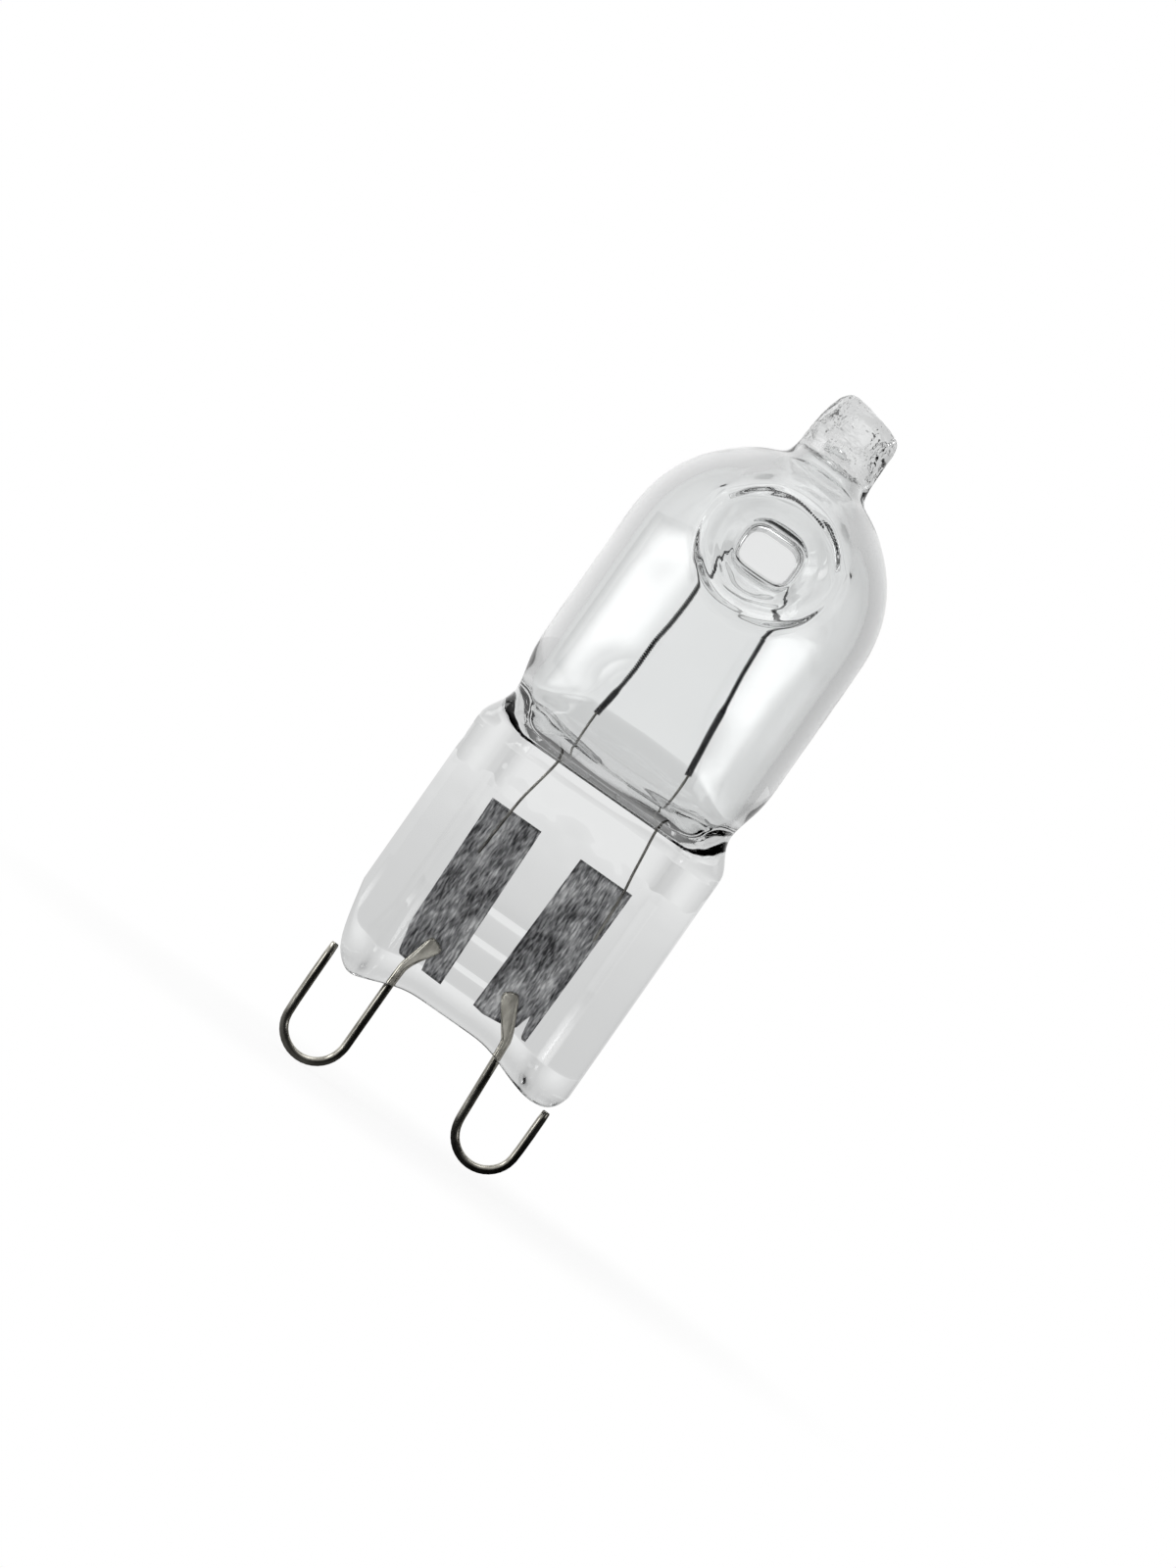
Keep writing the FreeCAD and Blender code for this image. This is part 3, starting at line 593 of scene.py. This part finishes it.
FOIL_TOP = 9.5
FOIL_BOTTOM = 1.17
FOIL_SET_BACK = 0.06
FOIL_THICKNESS = 0.04
FOIL_WAVE, FOIL_WAVE_TURN = 0.02, 2.1
FOIL_COLUMNS, FOIL_ROWS = 28, 44

# Lower edge of each foil: heights across its width, which runs from 0 to 1
LEFT_TEAR = (
    (0.0, 2.66),
    (0.04, 2.3),
    (0.1, 1.4),
    (0.14, 1.22),
    (0.3, 1.17),
    (0.47, 1.2),
    (0.5, 1.95),
    (0.57, 1.8),
    (0.6, 1.2),
    (1.0, 1.17),
)
RIGHT_TEAR = (
    (0.0, 1.25),
    (0.2, 1.17),
    (0.5, 1.25),
    (0.74, 1.4),
    (0.78, 1.9),
    (0.83, 2.4),
    (0.87, 1.5),
    (0.91, 1.2),
    (1.0, 1.2),
)

# Left and right edge at the top and at the bottom
FOILS = (
    ("left_foil", (-4.08, -1.28), (-3.85, -1.06), LEFT_TEAR),
    ("right_foil", (0.92, 3.85), (0.7, 3.67), RIGHT_TEAR),
)


def foil(name, material, top, bottom, tear):
    """Thin etched strip, a little wavy, with a torn lower edge."""
    bm = bmesh.new()
    bmesh.ops.create_grid(bm, x_segments=FOIL_COLUMNS, y_segments=FOIL_ROWS, size=0.5)
    for vert in bm.verts:
        across, up = vert.co.x + 0.5, vert.co.y + 0.5
        z = lerp(height_on(tear, across), FOIL_TOP, up)
        height = (z - FOIL_BOTTOM) / (FOIL_TOP - FOIL_BOTTOM)
        left, right = lerp(bottom[0], top[0], height), lerp(bottom[1], top[1], height)
        wave = FOIL_WAVE * math.sin(FOIL_WAVE_TURN * z) * math.sin(math.pi * across)
        vert.co = Vector((lerp(left, right, across), FOIL_SET_BACK + wave, z))
    solid = bm.faces[:] + bm.edges[:] + bm.verts[:]
    bmesh.ops.solidify(bm, geom=solid, thickness=FOIL_THICKNESS)
    bmesh.ops.recalc_face_normals(bm, faces=bm.faces)
    return new_object(name, bm, material)


# Leads and filament

LEAD_RADIUS = 0.07
LEAD_ROUNDING = 3
LEAD_STEPS = 6

LEFT_LEAD = (
    (-3.11, 0.0, 7.05),
    (-2.97, 0.0, 9.5),
    (-2.9, 0.0, 10.35),
    (-2.72, 0.0, 11.25),
    (-2.5, 0.0, 12.5),
    (-2.41, 0.0, 13.9),
    (-2.37, 0.0, 15.7),
)
RIGHT_LEAD = (
    (3.58, 0.0, 6.75),
    (3.45, 0.0, 9.4),
    (3.31, 0.0, 10.1),
    (3.17, 0.0, 11.25),
    (3.0, 0.0, 12.5),
    (2.9, 0.0, 14.15),
    (2.84, 0.0, 15.05),
    (2.8, 0.0, 15.7),
)

# Middle of the coil: x and z up the left leg and down the right leg, and the arch between them
LEFT_LEG = (
    (-2.37, 15.3),
    (-2.2, 16.8),
    (-2.06, 18.2),
    (-2.03, 19.7),
    (-1.9, 20.7),
    (-1.83, 22.0),
    (-1.8, 23.0),
    (-1.76, 24.4),
)
RIGHT_LEG = (
    (1.78, 24.4),
    (1.94, 23.0),
    (2.04, 22.0),
    (2.13, 20.8),
    (2.23, 20.0),
    (2.37, 18.9),
    (2.62, 17.0),
    (2.8, 15.36),
)
ARCH_WIDE = BRIDGE_WIDE + 0.16
ARCH_HIGH = BRIDGE_HIGH + 0.2
ARCH_STEPS = 14

# Coil of the filament: radius and pitch where it is open and where it is close wound, and the
# lengths that are close wound at the left and the right foot
COIL_RADII = (0.105, 0.15)
COIL_PITCHES = (0.11, 0.085)
COIL_WIRE_RADIUS = 0.036
COIL_WIRE_ROUNDING = 0
POINTS_PER_TURN = 10
LEFT_WINDING, RIGHT_WINDING = 1.4, 3.9
WINDING_BLEND = 0.5


def new_wire(name, material, radius, rounding):
    """Object of an empty curve that is drawn as a wire of a radius in millimetres."""
    curve = bpy.data.curves.new(name, "CURVE")
    curve.dimensions = "3D"
    curve.bevel_depth = radius * MM
    curve.bevel_resolution = rounding
    curve.materials.append(material)
    obj = bpy.data.objects.new(name, curve)
    bpy.context.collection.objects.link(obj)
    return obj


def add_spline(curve, kind, points):
    """Spline through points in millimetres."""
    spline = curve.splines.new(kind)
    spline.points.add(len(points) - 1)
    for point, place in zip(spline.points, points):
        point.co = (*(Vector(place) * MM), 1)
    return spline


def lead(name, material, points):
    """Thin wire on a smooth line near its points."""
    obj = new_wire(name, material, LEAD_RADIUS, LEAD_ROUNDING)
    obj.data.use_fill_caps = True
    obj.data.resolution_u = LEAD_STEPS
    spline = add_spline(obj.data, "NURBS", points)
    spline.order_u = 3
    spline.use_endpoint_u = True
    return obj


def filament_line():
    """Places along the middle of the coil: up the left leg, over the bridge, down the right leg."""
    arch = []
    for step in range(ARCH_STEPS + 1):
        angle = math.pi * (1 - step / ARCH_STEPS)
        arch.append((ARCH_WIDE * math.cos(angle), BRIDGE_HEIGHT + ARCH_HIGH * math.sin(angle)))
    return [Vector((x, 0, z)) for x, z in (*LEFT_LEG, *arch, *RIGHT_LEG)]


def filament(name, material):
    """Coiled tungsten wire, close wound at its two feet and open elsewhere."""
    line = filament_line()
    lengths = [0.0]
    for start, finish in zip(line, line[1:]):
        lengths.append(lengths[-1] + (finish - start).length)
    total = lengths[-1]
    points, distance, angle, number = [], 0.0, 0.0, 1
    step = 2 * math.pi / POINTS_PER_TURN
    while distance < total:
        while distance > lengths[number]:
            number += 1
        start, finish = line[number - 1], line[number]
        share = (distance - lengths[number - 1]) / (lengths[number] - lengths[number - 1])
        side = (finish - start).normalized().cross(Vector((0, 1, 0)))
        dense = 1 - ease((distance - LEFT_WINDING) / WINDING_BLEND)
        dense += ease((distance - (total - RIGHT_WINDING)) / WINDING_BLEND)
        turned = side * math.cos(angle) + Vector((0, math.sin(angle), 0))
        points.append(start.lerp(finish, share) + turned * lerp(*COIL_RADII, dense))
        angle += step
        distance += lerp(*COIL_PITCHES, dense) * step / (2 * math.pi)
    obj = new_wire(name, material, COIL_WIRE_RADIUS, COIL_WIRE_ROUNDING)
    add_spline(obj.data, "POLY", points)
    return obj


# Materials. Lengths in them are in metres.

WHITE = (1, 1, 1, 1)
PLUS = {"operation": "ADD"}
MINUS = {"operation": "SUBTRACT"}
TIMES = {"operation": "MULTIPLY"}
SMOOTH = {"interpolation_type": "SMOOTHSTEP"}


def linear(code):
    """Linear colour of an sRGB hex value."""
    channels = [int(code[i : i + 2], 16) / 255 for i in (1, 3, 5)]
    return [c / 12.92 if c <= 0.04045 else ((c + 0.055) / 1.055) ** 2.4 for c in channels] + [1.0]


def add(tree, kind, settings, *inputs):
    """Adds a node with its settings and links.

    Settings are properties, inputs by name or number and the stops of a colour ramp. Further
    inputs follow in the node's own order. An input takes a value, a socket that feeds it or a node
    that feeds it with its first output.
    """
    node = tree.nodes.new(kind)
    for key, value in [*settings.items(), *enumerate(inputs)]:
        if isinstance(value, bpy.types.Node):
            value = value.outputs[0]
        if isinstance(value, bpy.types.NodeSocket):
            tree.links.new(value, node.inputs[key])
        elif key == "stops":
            elements = node.color_ramp.elements
            for position, _ in value[1:-1]:
                elements.new(position)
            for element, (position, colour) in zip(elements, value):
                element.position = position
                element.color = linear(colour)
        elif isinstance(key, int) or key in node.inputs:
            node.inputs[key].default_value = value
        else:
            setattr(node, key, value)
    return node


def new_material(name):
    material = bpy.data.materials.new(name)
    material.use_nodes = True
    material.node_tree.nodes.clear()
    return material, material.node_tree


def spots(tree, density, stretch=(1, 1, 1), turn=0.0, detail=2.0):
    """Noise on the object, with so many spots to the millimetre, stretched and turned about Y."""
    place = add(tree, "ShaderNodeTexCoord", {}).outputs["Object"]
    settings = {"Scale": stretch, "Rotation": (0, turn, 0)}
    placed = add(tree, "ShaderNodeMapping", settings, place)
    settings = {"Scale": density / MM, "Detail": detail, "Vector": placed}
    return add(tree, "ShaderNodeTexNoise", settings)


def quartz_glass():
    """Fused quartz, clear and fire polished.

    Slow waves 4 mm long break the reflections a little, faint rings 0.5 mm apart lie round the
    dimples where the pins pressed them in, ripples 1 mm high cross the pressed neck, and the
    melted tip has wrinkles of 1 mm.
    """
    material, tree = new_material("fused_quartz_clear")
    place = add(tree, "ShaderNodeTexCoord", {}).outputs["Object"]
    height = add(tree, "ShaderNodeSeparateXYZ", {}, place).outputs["Z"]
    waves = spots(tree, 0.26)

    settings = {"operation": "MULTIPLY_ADD", 1: (1, 0, 1), 2: (0, 0, -BRIDGE_HEIGHT * MM)}
    from_pin = add(tree, "ShaderNodeVectorMath", settings, place)
    reach = add(tree, "ShaderNodeVectorMath", {"operation": "LENGTH"}, from_pin).outputs["Value"]
    wobble = add(tree, "ShaderNodeMath", TIMES, spots(tree, 0.3), 1.2 * MM)
    uneven_reach = add(tree, "ShaderNodeMath", PLUS, reach, wobble)
    phase = add(tree, "ShaderNodeMath", TIMES, uneven_reach, 13 / MM)
    rings = add(tree, "ShaderNodeMath", {"operation": "SINE"}, phase)
    past_pin = add(tree, "ShaderNodeMapRange", SMOOTH, reach, 1.9 * MM, 2.6 * MM)
    within = add(tree, "ShaderNodeMapRange", SMOOTH, reach, 4.2 * MM, 3.0 * MM)
    at_mouth = add(tree, "ShaderNodeMath", TIMES, past_pin, within)

    ripples = spots(tree, 0.12, (1, 1, 9), detail=1.0)
    above = add(tree, "ShaderNodeMapRange", SMOOTH, height, 11.8 * MM, 12.7 * MM)
    below = add(tree, "ShaderNodeMapRange", SMOOTH, height, 15.0 * MM, 13.6 * MM)
    at_neck = add(tree, "ShaderNodeMath", TIMES, above, below)

    wrinkles = add(tree, "ShaderNodeMapRange", SMOOTH, spots(tree, 0.9, detail=3.0), 0.4, 0.6)
    at_tip = add(tree, "ShaderNodeMapRange", SMOOTH, height, 30.8 * MM, 31.8 * MM)

    # One relief onto the other: its form where it lies, its full height in mm and its strength
    reliefs = (
        (waves, 0.03, 0.5),
        (add(tree, "ShaderNodeMath", TIMES, rings, at_mouth), 0.004, 0.8),
        (add(tree, "ShaderNodeMath", TIMES, ripples, at_neck), 0.2, 0.5),
        (add(tree, "ShaderNodeMath", TIMES, wrinkles, at_tip), 0.16, 0.8),
    )
    onto = {}
    for form, full_height, strength in reliefs:
        settings = {"Strength": strength, "Distance": full_height * MM, "Height": form}
        onto = {"Normal": add(tree, "ShaderNodeBump", settings | onto)}
    glass = {"Base Color": linear("#FBFCFC"), "Roughness": 0.0, "IOR": 1.458}
    glass |= {"Transmission Weight": 1.0}
    shader = add(tree, "ShaderNodeBsdfPrincipled", glass | onto)
    add(tree, "ShaderNodeOutputMaterial", {"Surface": shader})
    return material


def metal(tree, grain, colours, roughness, full_height):
    """Metal whose colour and roughness follow a grain, which also stands up by a small height."""
    bump = {"Strength": 1.0, "Distance": full_height * MM, "Height": grain}
    settings = {
        "Metallic": 1.0,
        "Base Color": add(tree, "ShaderNodeValToRGB", {"Fac": grain, "stops": colours}),
        "Roughness": add(tree, "ShaderNodeMapRange", SMOOTH, grain, 0.3, 0.7, *roughness),
        "Normal": add(tree, "ShaderNodeBump", bump),
    }
    shader = add(tree, "ShaderNodeBsdfPrincipled", settings)
    add(tree, "ShaderNodeOutputMaterial", {"Surface": shader})


def nickel_wire():
    """Drawn nickel-plated wire: bright where it mirrors a softbox, with dull specks from heat.

    The specks are 0.4 mm wide and longer along the wire. Real ones are finer and wouldn't show.
    """
    material, tree = new_material("nickel_plated_wire")
    specks = spots(tree, 2.6, (1, 1, 0.35), detail=3.0)
    colours = ((0.3, "#98958C"), (0.5, "#B4B1A8"), (0.7, "#C8C5BC"))
    metal(tree, specks, colours, (0.14, 0.24), 0.002)
    return material


def molybdenum_foil():
    """Rolled and etched molybdenum: dark, with blotches 1.7 mm wide and streaks brushed across it.

    The streaks are 0.1 mm wide. Real ones are finer and wouldn't show.
    """
    material, tree = new_material("molybdenum_foil")
    streaks = spots(tree, 2.6, (3.5, 1, 0.8), math.radians(20), 6.0)
    crossed = spots(tree, 2.2, (4, 1, 1), math.radians(-40), 5.0)
    blotches = spots(tree, 0.6, (1.6, 1, 0.7), math.radians(20), 8.0)
    both = add(tree, "ShaderNodeMath", PLUS, streaks, crossed)
    fine = add(tree, "ShaderNodeMath", TIMES, both, 0.3)
    coarse = add(tree, "ShaderNodeMath", TIMES, blotches, 0.4)
    grain = add(tree, "ShaderNodeMath", PLUS, fine, coarse)
    colours = ((0.41, "#4C4C4E"), (0.48, "#8E8E90"), (0.53, "#B6B6B8"), (0.62, "#F4F4F4"))
    metal(tree, grain, colours, (0.55, 0.38), 0.03)
    return material


def lead_wire():
    """Thin drawn molybdenum wire, grey, with lighter runs of 1 mm."""
    material, tree = new_material("molybdenum_lead_wire")
    runs = spots(tree, 1.5, (1, 1, 0.5))
    metal(tree, runs, ((0.35, "#5A5955"), (0.65, "#A5A39D")), (0.3, 0.45), 0.004)
    return material


def tungsten_wire():
    """Coiled tungsten, nearly black after its first burning, lighter in patches of 0.5 mm."""
    material, tree = new_material("tungsten_coil_wire")
    patches = spots(tree, 2.0)
    metal(tree, patches, ((0.35, "#141416"), (0.65, "#3C3C40")), (0.4, 0.55), 0.002)
    return material


# Studio

FRAME_HEIGHT = 0.07207
SENSOR = 36.0
CAMERA_DISTANCE = 0.4
CAMERA_AIM = (-0.00079, 0, 0.01252)
CAMERA_ROLL = math.radians(35)

FLOOR_HALF_SIZE = 3000
SHADOW_REACH, SHADOW_FULL, SHADOW_SHARE = 0.03, 0.012, 0.12

# Greys of the room through the glass, from behind the camera (0) to straight behind the bulb (1)
ROOM_GREYS = (
    (0.0, "#B4B4B4"),
    (0.5, "#BCBCBC"),
    (0.75, "#C8C8C8"),
    (0.885, "#D0D0D0"),
    (0.97, "#DCDCDC"),
    (0.9925, "#E8E8E8"),
    (1.0, "#F1F1F1"),
)

# Greys of the floor through the glass, from below the bulb (0) to the far edge (1)
FLOOR_GREYS = (
    (0.0, "#D4D4D4"),
    (0.067, "#D4D4D4"),
    (0.3, "#DCDCDC"),
    (0.6, "#E4E4E4"),
    (1.0, "#EAEAEA"),
)


def room():
    """World: white to the camera, pale greys through the glass, bright on the left in mirrors."""
    world = bpy.data.worlds.new("studio")
    bpy.context.scene.world = world
    world.use_nodes = True
    tree = world.node_tree
    tree.nodes.clear()
    rays = add(tree, "ShaderNodeLightPath", {}).outputs
    direction = add(tree, "ShaderNodeTexCoord", {}).outputs["Generated"]
    across = add(tree, "ShaderNodeSeparateXYZ", {}, direction).outputs
    # Through the glass: brightest straight behind the bulb, dimmer to the sides
    settings = {"operation": "MULTIPLY_ADD", 1: 0.5, 2: 0.5}
    halfway = add(tree, "ShaderNodeMath", settings, across["Y"])
    behind = add(tree, "ShaderNodeValToRGB", {"Fac": halfway, "stops": ROOM_GREYS})
    sides = add(tree, "ShaderNodeMapRange", SMOOTH, across["X"], -0.8, 0.8, 1.02, 0.94)
    through = add(tree, "ShaderNodeMath", TIMES, behind, sides)
    # Mirrored: a bright room on the left and above, dark on the right and below
    settings = {"operation": "DOT_PRODUCT", 1: (-0.85, 0.45, 0.2)}
    toward = add(tree, "ShaderNodeVectorMath", settings, direction).outputs["Value"]
    mirrored = add(tree, "ShaderNodeMapRange", SMOOTH, toward, -0.55, 0.65, 0.02, 1.1)
    settings = {"data_type": "FLOAT", 0: rays["Is Reflection Ray"], 2: through, 3: mirrored}
    level = add(tree, "ShaderNodeMix", settings)
    white = add(tree, "ShaderNodeBackground", {"Color": WHITE, "Strength": 1.0})
    shown = add(tree, "ShaderNodeBackground", {"Color": WHITE, "Strength": level})
    surface = add(tree, "ShaderNodeMixShader", {}, rays["Is Camera Ray"], shown, white)
    add(tree, "ShaderNodeOutputWorld", {"Surface": surface})


def floor():
    """White painted floor: a faint shadow on it, pale grey through glass, part dark in mirrors."""
    bm = bmesh.new()
    bmesh.ops.create_grid(bm, x_segments=1, y_segments=1, size=FLOOR_HALF_SIZE)
    bmesh.ops.translate(bm, vec=Vector((0, 0, CAD_BOX[0][2] / MM)), verts=bm.verts)
    material, tree = new_material("studio_floor")
    rays = add(tree, "ShaderNodeLightPath", {}).outputs
    place = add(tree, "ShaderNodeTexCoord", {}).outputs["Object"]
    parts = add(tree, "ShaderNodeSeparateXYZ", {}, place).outputs
    lit = add(tree, "ShaderNodeBsdfDiffuse", {"Color": linear("#F4F4F4")})
    white = add(tree, "ShaderNodeEmission", {"Color": WHITE, "Strength": 1.0})
    # The shadow shows near the bulb only, so that the white runs on to the horizon
    away = add(tree, "ShaderNodeVectorMath", {"operation": "LENGTH"}, place).outputs["Value"]
    shadow = (away, SHADOW_REACH, SHADOW_FULL, 0.0, SHADOW_SHARE)
    share = add(tree, "ShaderNodeMapRange", SMOOTH, *shadow)
    shaded = add(tree, "ShaderNodeMixShader", {}, share, white, lit)
    settings = {"operation": "DIVIDE", 1: FLOOR_HALF_SIZE * MM}
    farther = add(tree, "ShaderNodeMath", settings, parts["Y"])
    greys = add(tree, "ShaderNodeValToRGB", {"Fac": farther, "stops": FLOOR_GREYS})
    # Mirrored in the wires and the foils the floor is dark in front and on the right
    right_front = add(tree, "ShaderNodeMath", MINUS, parts["X"], parts["Y"])
    dim = add(tree, "ShaderNodeMapRange", SMOOTH, right_front, -0.04, 0.01, 1.0, 0.05)
    loss = add(tree, "ShaderNodeMath", MINUS, dim, 1.0)
    loss_there = add(tree, "ShaderNodeMath", TIMES, rays["Is Reflection Ray"], loss)
    left_over = add(tree, "ShaderNodeMapRange", SMOOTH, loss_there, -1, 0)
    level = add(tree, "ShaderNodeMath", TIMES, greys, left_over)
    glow = add(tree, "ShaderNodeEmission", {"Color": WHITE, "Strength": level})
    settings = {"operation": "MAXIMUM"}
    seen = add(tree, "ShaderNodeMath", settings, rays["Is Glossy Ray"], rays["Is Transmission Ray"])
    bounced = add(tree, "ShaderNodeMixShader", {}, seen, lit, glow)
    surface = add(tree, "ShaderNodeMixShader", {}, rays["Is Camera Ray"], bounced, shaded)
    add(tree, "ShaderNodeOutputMaterial", {"Surface": surface})
    new_object("studio_floor", bm, material)


def softbox(name, place, size, strength):
    """Glowing panel with a soft edge that faces the bulb's axis and is hidden from the camera."""
    axis = Vector((0, 0, place[2]))
    turn = (Vector(place) - axis).to_track_quat("Z", "Y").to_matrix()
    bm = bmesh.new()
    bmesh.ops.create_grid(bm, x_segments=1, y_segments=1, size=0.5)
    bmesh.ops.scale(bm, vec=Vector((*size, 1)), verts=bm.verts)
    bmesh.ops.rotate(bm, matrix=turn, cent=(0, 0, 0), verts=bm.verts)
    bmesh.ops.translate(bm, vec=Vector(place), verts=bm.verts)
    material, tree = new_material(f"{name}_light")
    point = add(tree, "ShaderNodeTexCoord", {}).outputs["Object"]
    centred = add(tree, "ShaderNodeVectorMath", MINUS, point, Vector(place) * MM)
    edges = []
    for way, length in zip(turn.col, size):
        settings = {"operation": "DOT_PRODUCT", 1: way}
        along = add(tree, "ShaderNodeVectorMath", settings, centred).outputs["Value"]
        distance = add(tree, "ShaderNodeMath", {"operation": "ABSOLUTE"}, along)
        fade = (distance, length / 2 * MM, length / 8 * MM)
        edges.append(add(tree, "ShaderNodeMapRange", SMOOTH, *fade))
    faded = add(tree, "ShaderNodeMath", TIMES, *edges)
    level = add(tree, "ShaderNodeMath", TIMES, faded, strength)
    glow = add(tree, "ShaderNodeEmission", {"Color": WHITE, "Strength": level})
    add(tree, "ShaderNodeOutputMaterial", {"Surface": glow})
    panel = new_object(name, bm, material)
    panel.visible_camera = False
    panel.visible_shadow = False


def top_lamp():
    """Soft square light high on the left, towards the camera."""
    light = bpy.data.lights.new("top_lamp", "AREA")
    light.shape = "RECTANGLE"
    light.size = light.size_y = 0.2
    light.energy = 0.2
    obj = bpy.data.objects.new("top_lamp", light)
    obj.location = (-0.08, -0.06, 0.3)
    toward = Vector((0, 0, 0.014)) - obj.location
    obj.rotation_euler = toward.to_track_quat("-Z", "Y").to_euler()
    obj.visible_camera = False
    bpy.context.scene.collection.objects.link(obj)


def photo_camera():
    """Camera straight in front, rolled as the bulb lies in the photograph."""
    camera = bpy.data.cameras.new("photo_camera")
    camera.sensor_width = SENSOR
    camera.lens = SENSOR * CAMERA_DISTANCE / FRAME_HEIGHT
    camera.clip_start = 0.01
    obj = bpy.data.objects.new("photo_camera", camera)
    place = Vector(CAMERA_AIM) + Vector((0, -CAMERA_DISTANCE, 0))
    rolled = Matrix.Rotation(math.pi / 2, 4, "X") @ Matrix.Rotation(CAMERA_ROLL, 4, "Z")
    obj.matrix_world = Matrix.Translation(place) @ rolled
    bpy.context.scene.collection.objects.link(obj)
    bpy.context.scene.camera = obj
    bpy.context.scene.view_settings.view_transform = "Standard"


# Scene


def fit(piece, node):
    """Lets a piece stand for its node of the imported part."""
    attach(piece, "root")
    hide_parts(node)


room()
floor()
softbox("left_softbox", (-52, -16, 20.5), (76, 22), 4.2)
softbox("right_softbox", (50, -28, 21.5), (46, 19), 1.2)
softbox("wire_softbox", (-55, -40, -1), (44, 9), 4.5)
top_lamp()
photo_camera()

fit(glass_envelope(quartz_glass()), "glass_envelope")

contact_wire = nickel_wire()
for node, *sizes in CONTACT_LOOPS:
    fit(contact_loop(f"{node}_wire", contact_wire, *sizes), node)

foil_metal = molybdenum_foil()
for node, *sizes in FOILS:
    fit(foil(f"{node}_strip", foil_metal, *sizes), node)

lead_metal = lead_wire()
for hand, points in (("left", LEFT_LEAD), ("right", RIGHT_LEAD)):
    fit(lead(f"{hand}_lead_wire", lead_metal, points), f"{hand}_inner_lead")

fit(filament("filament_coil", tungsten_wire()), "filament")
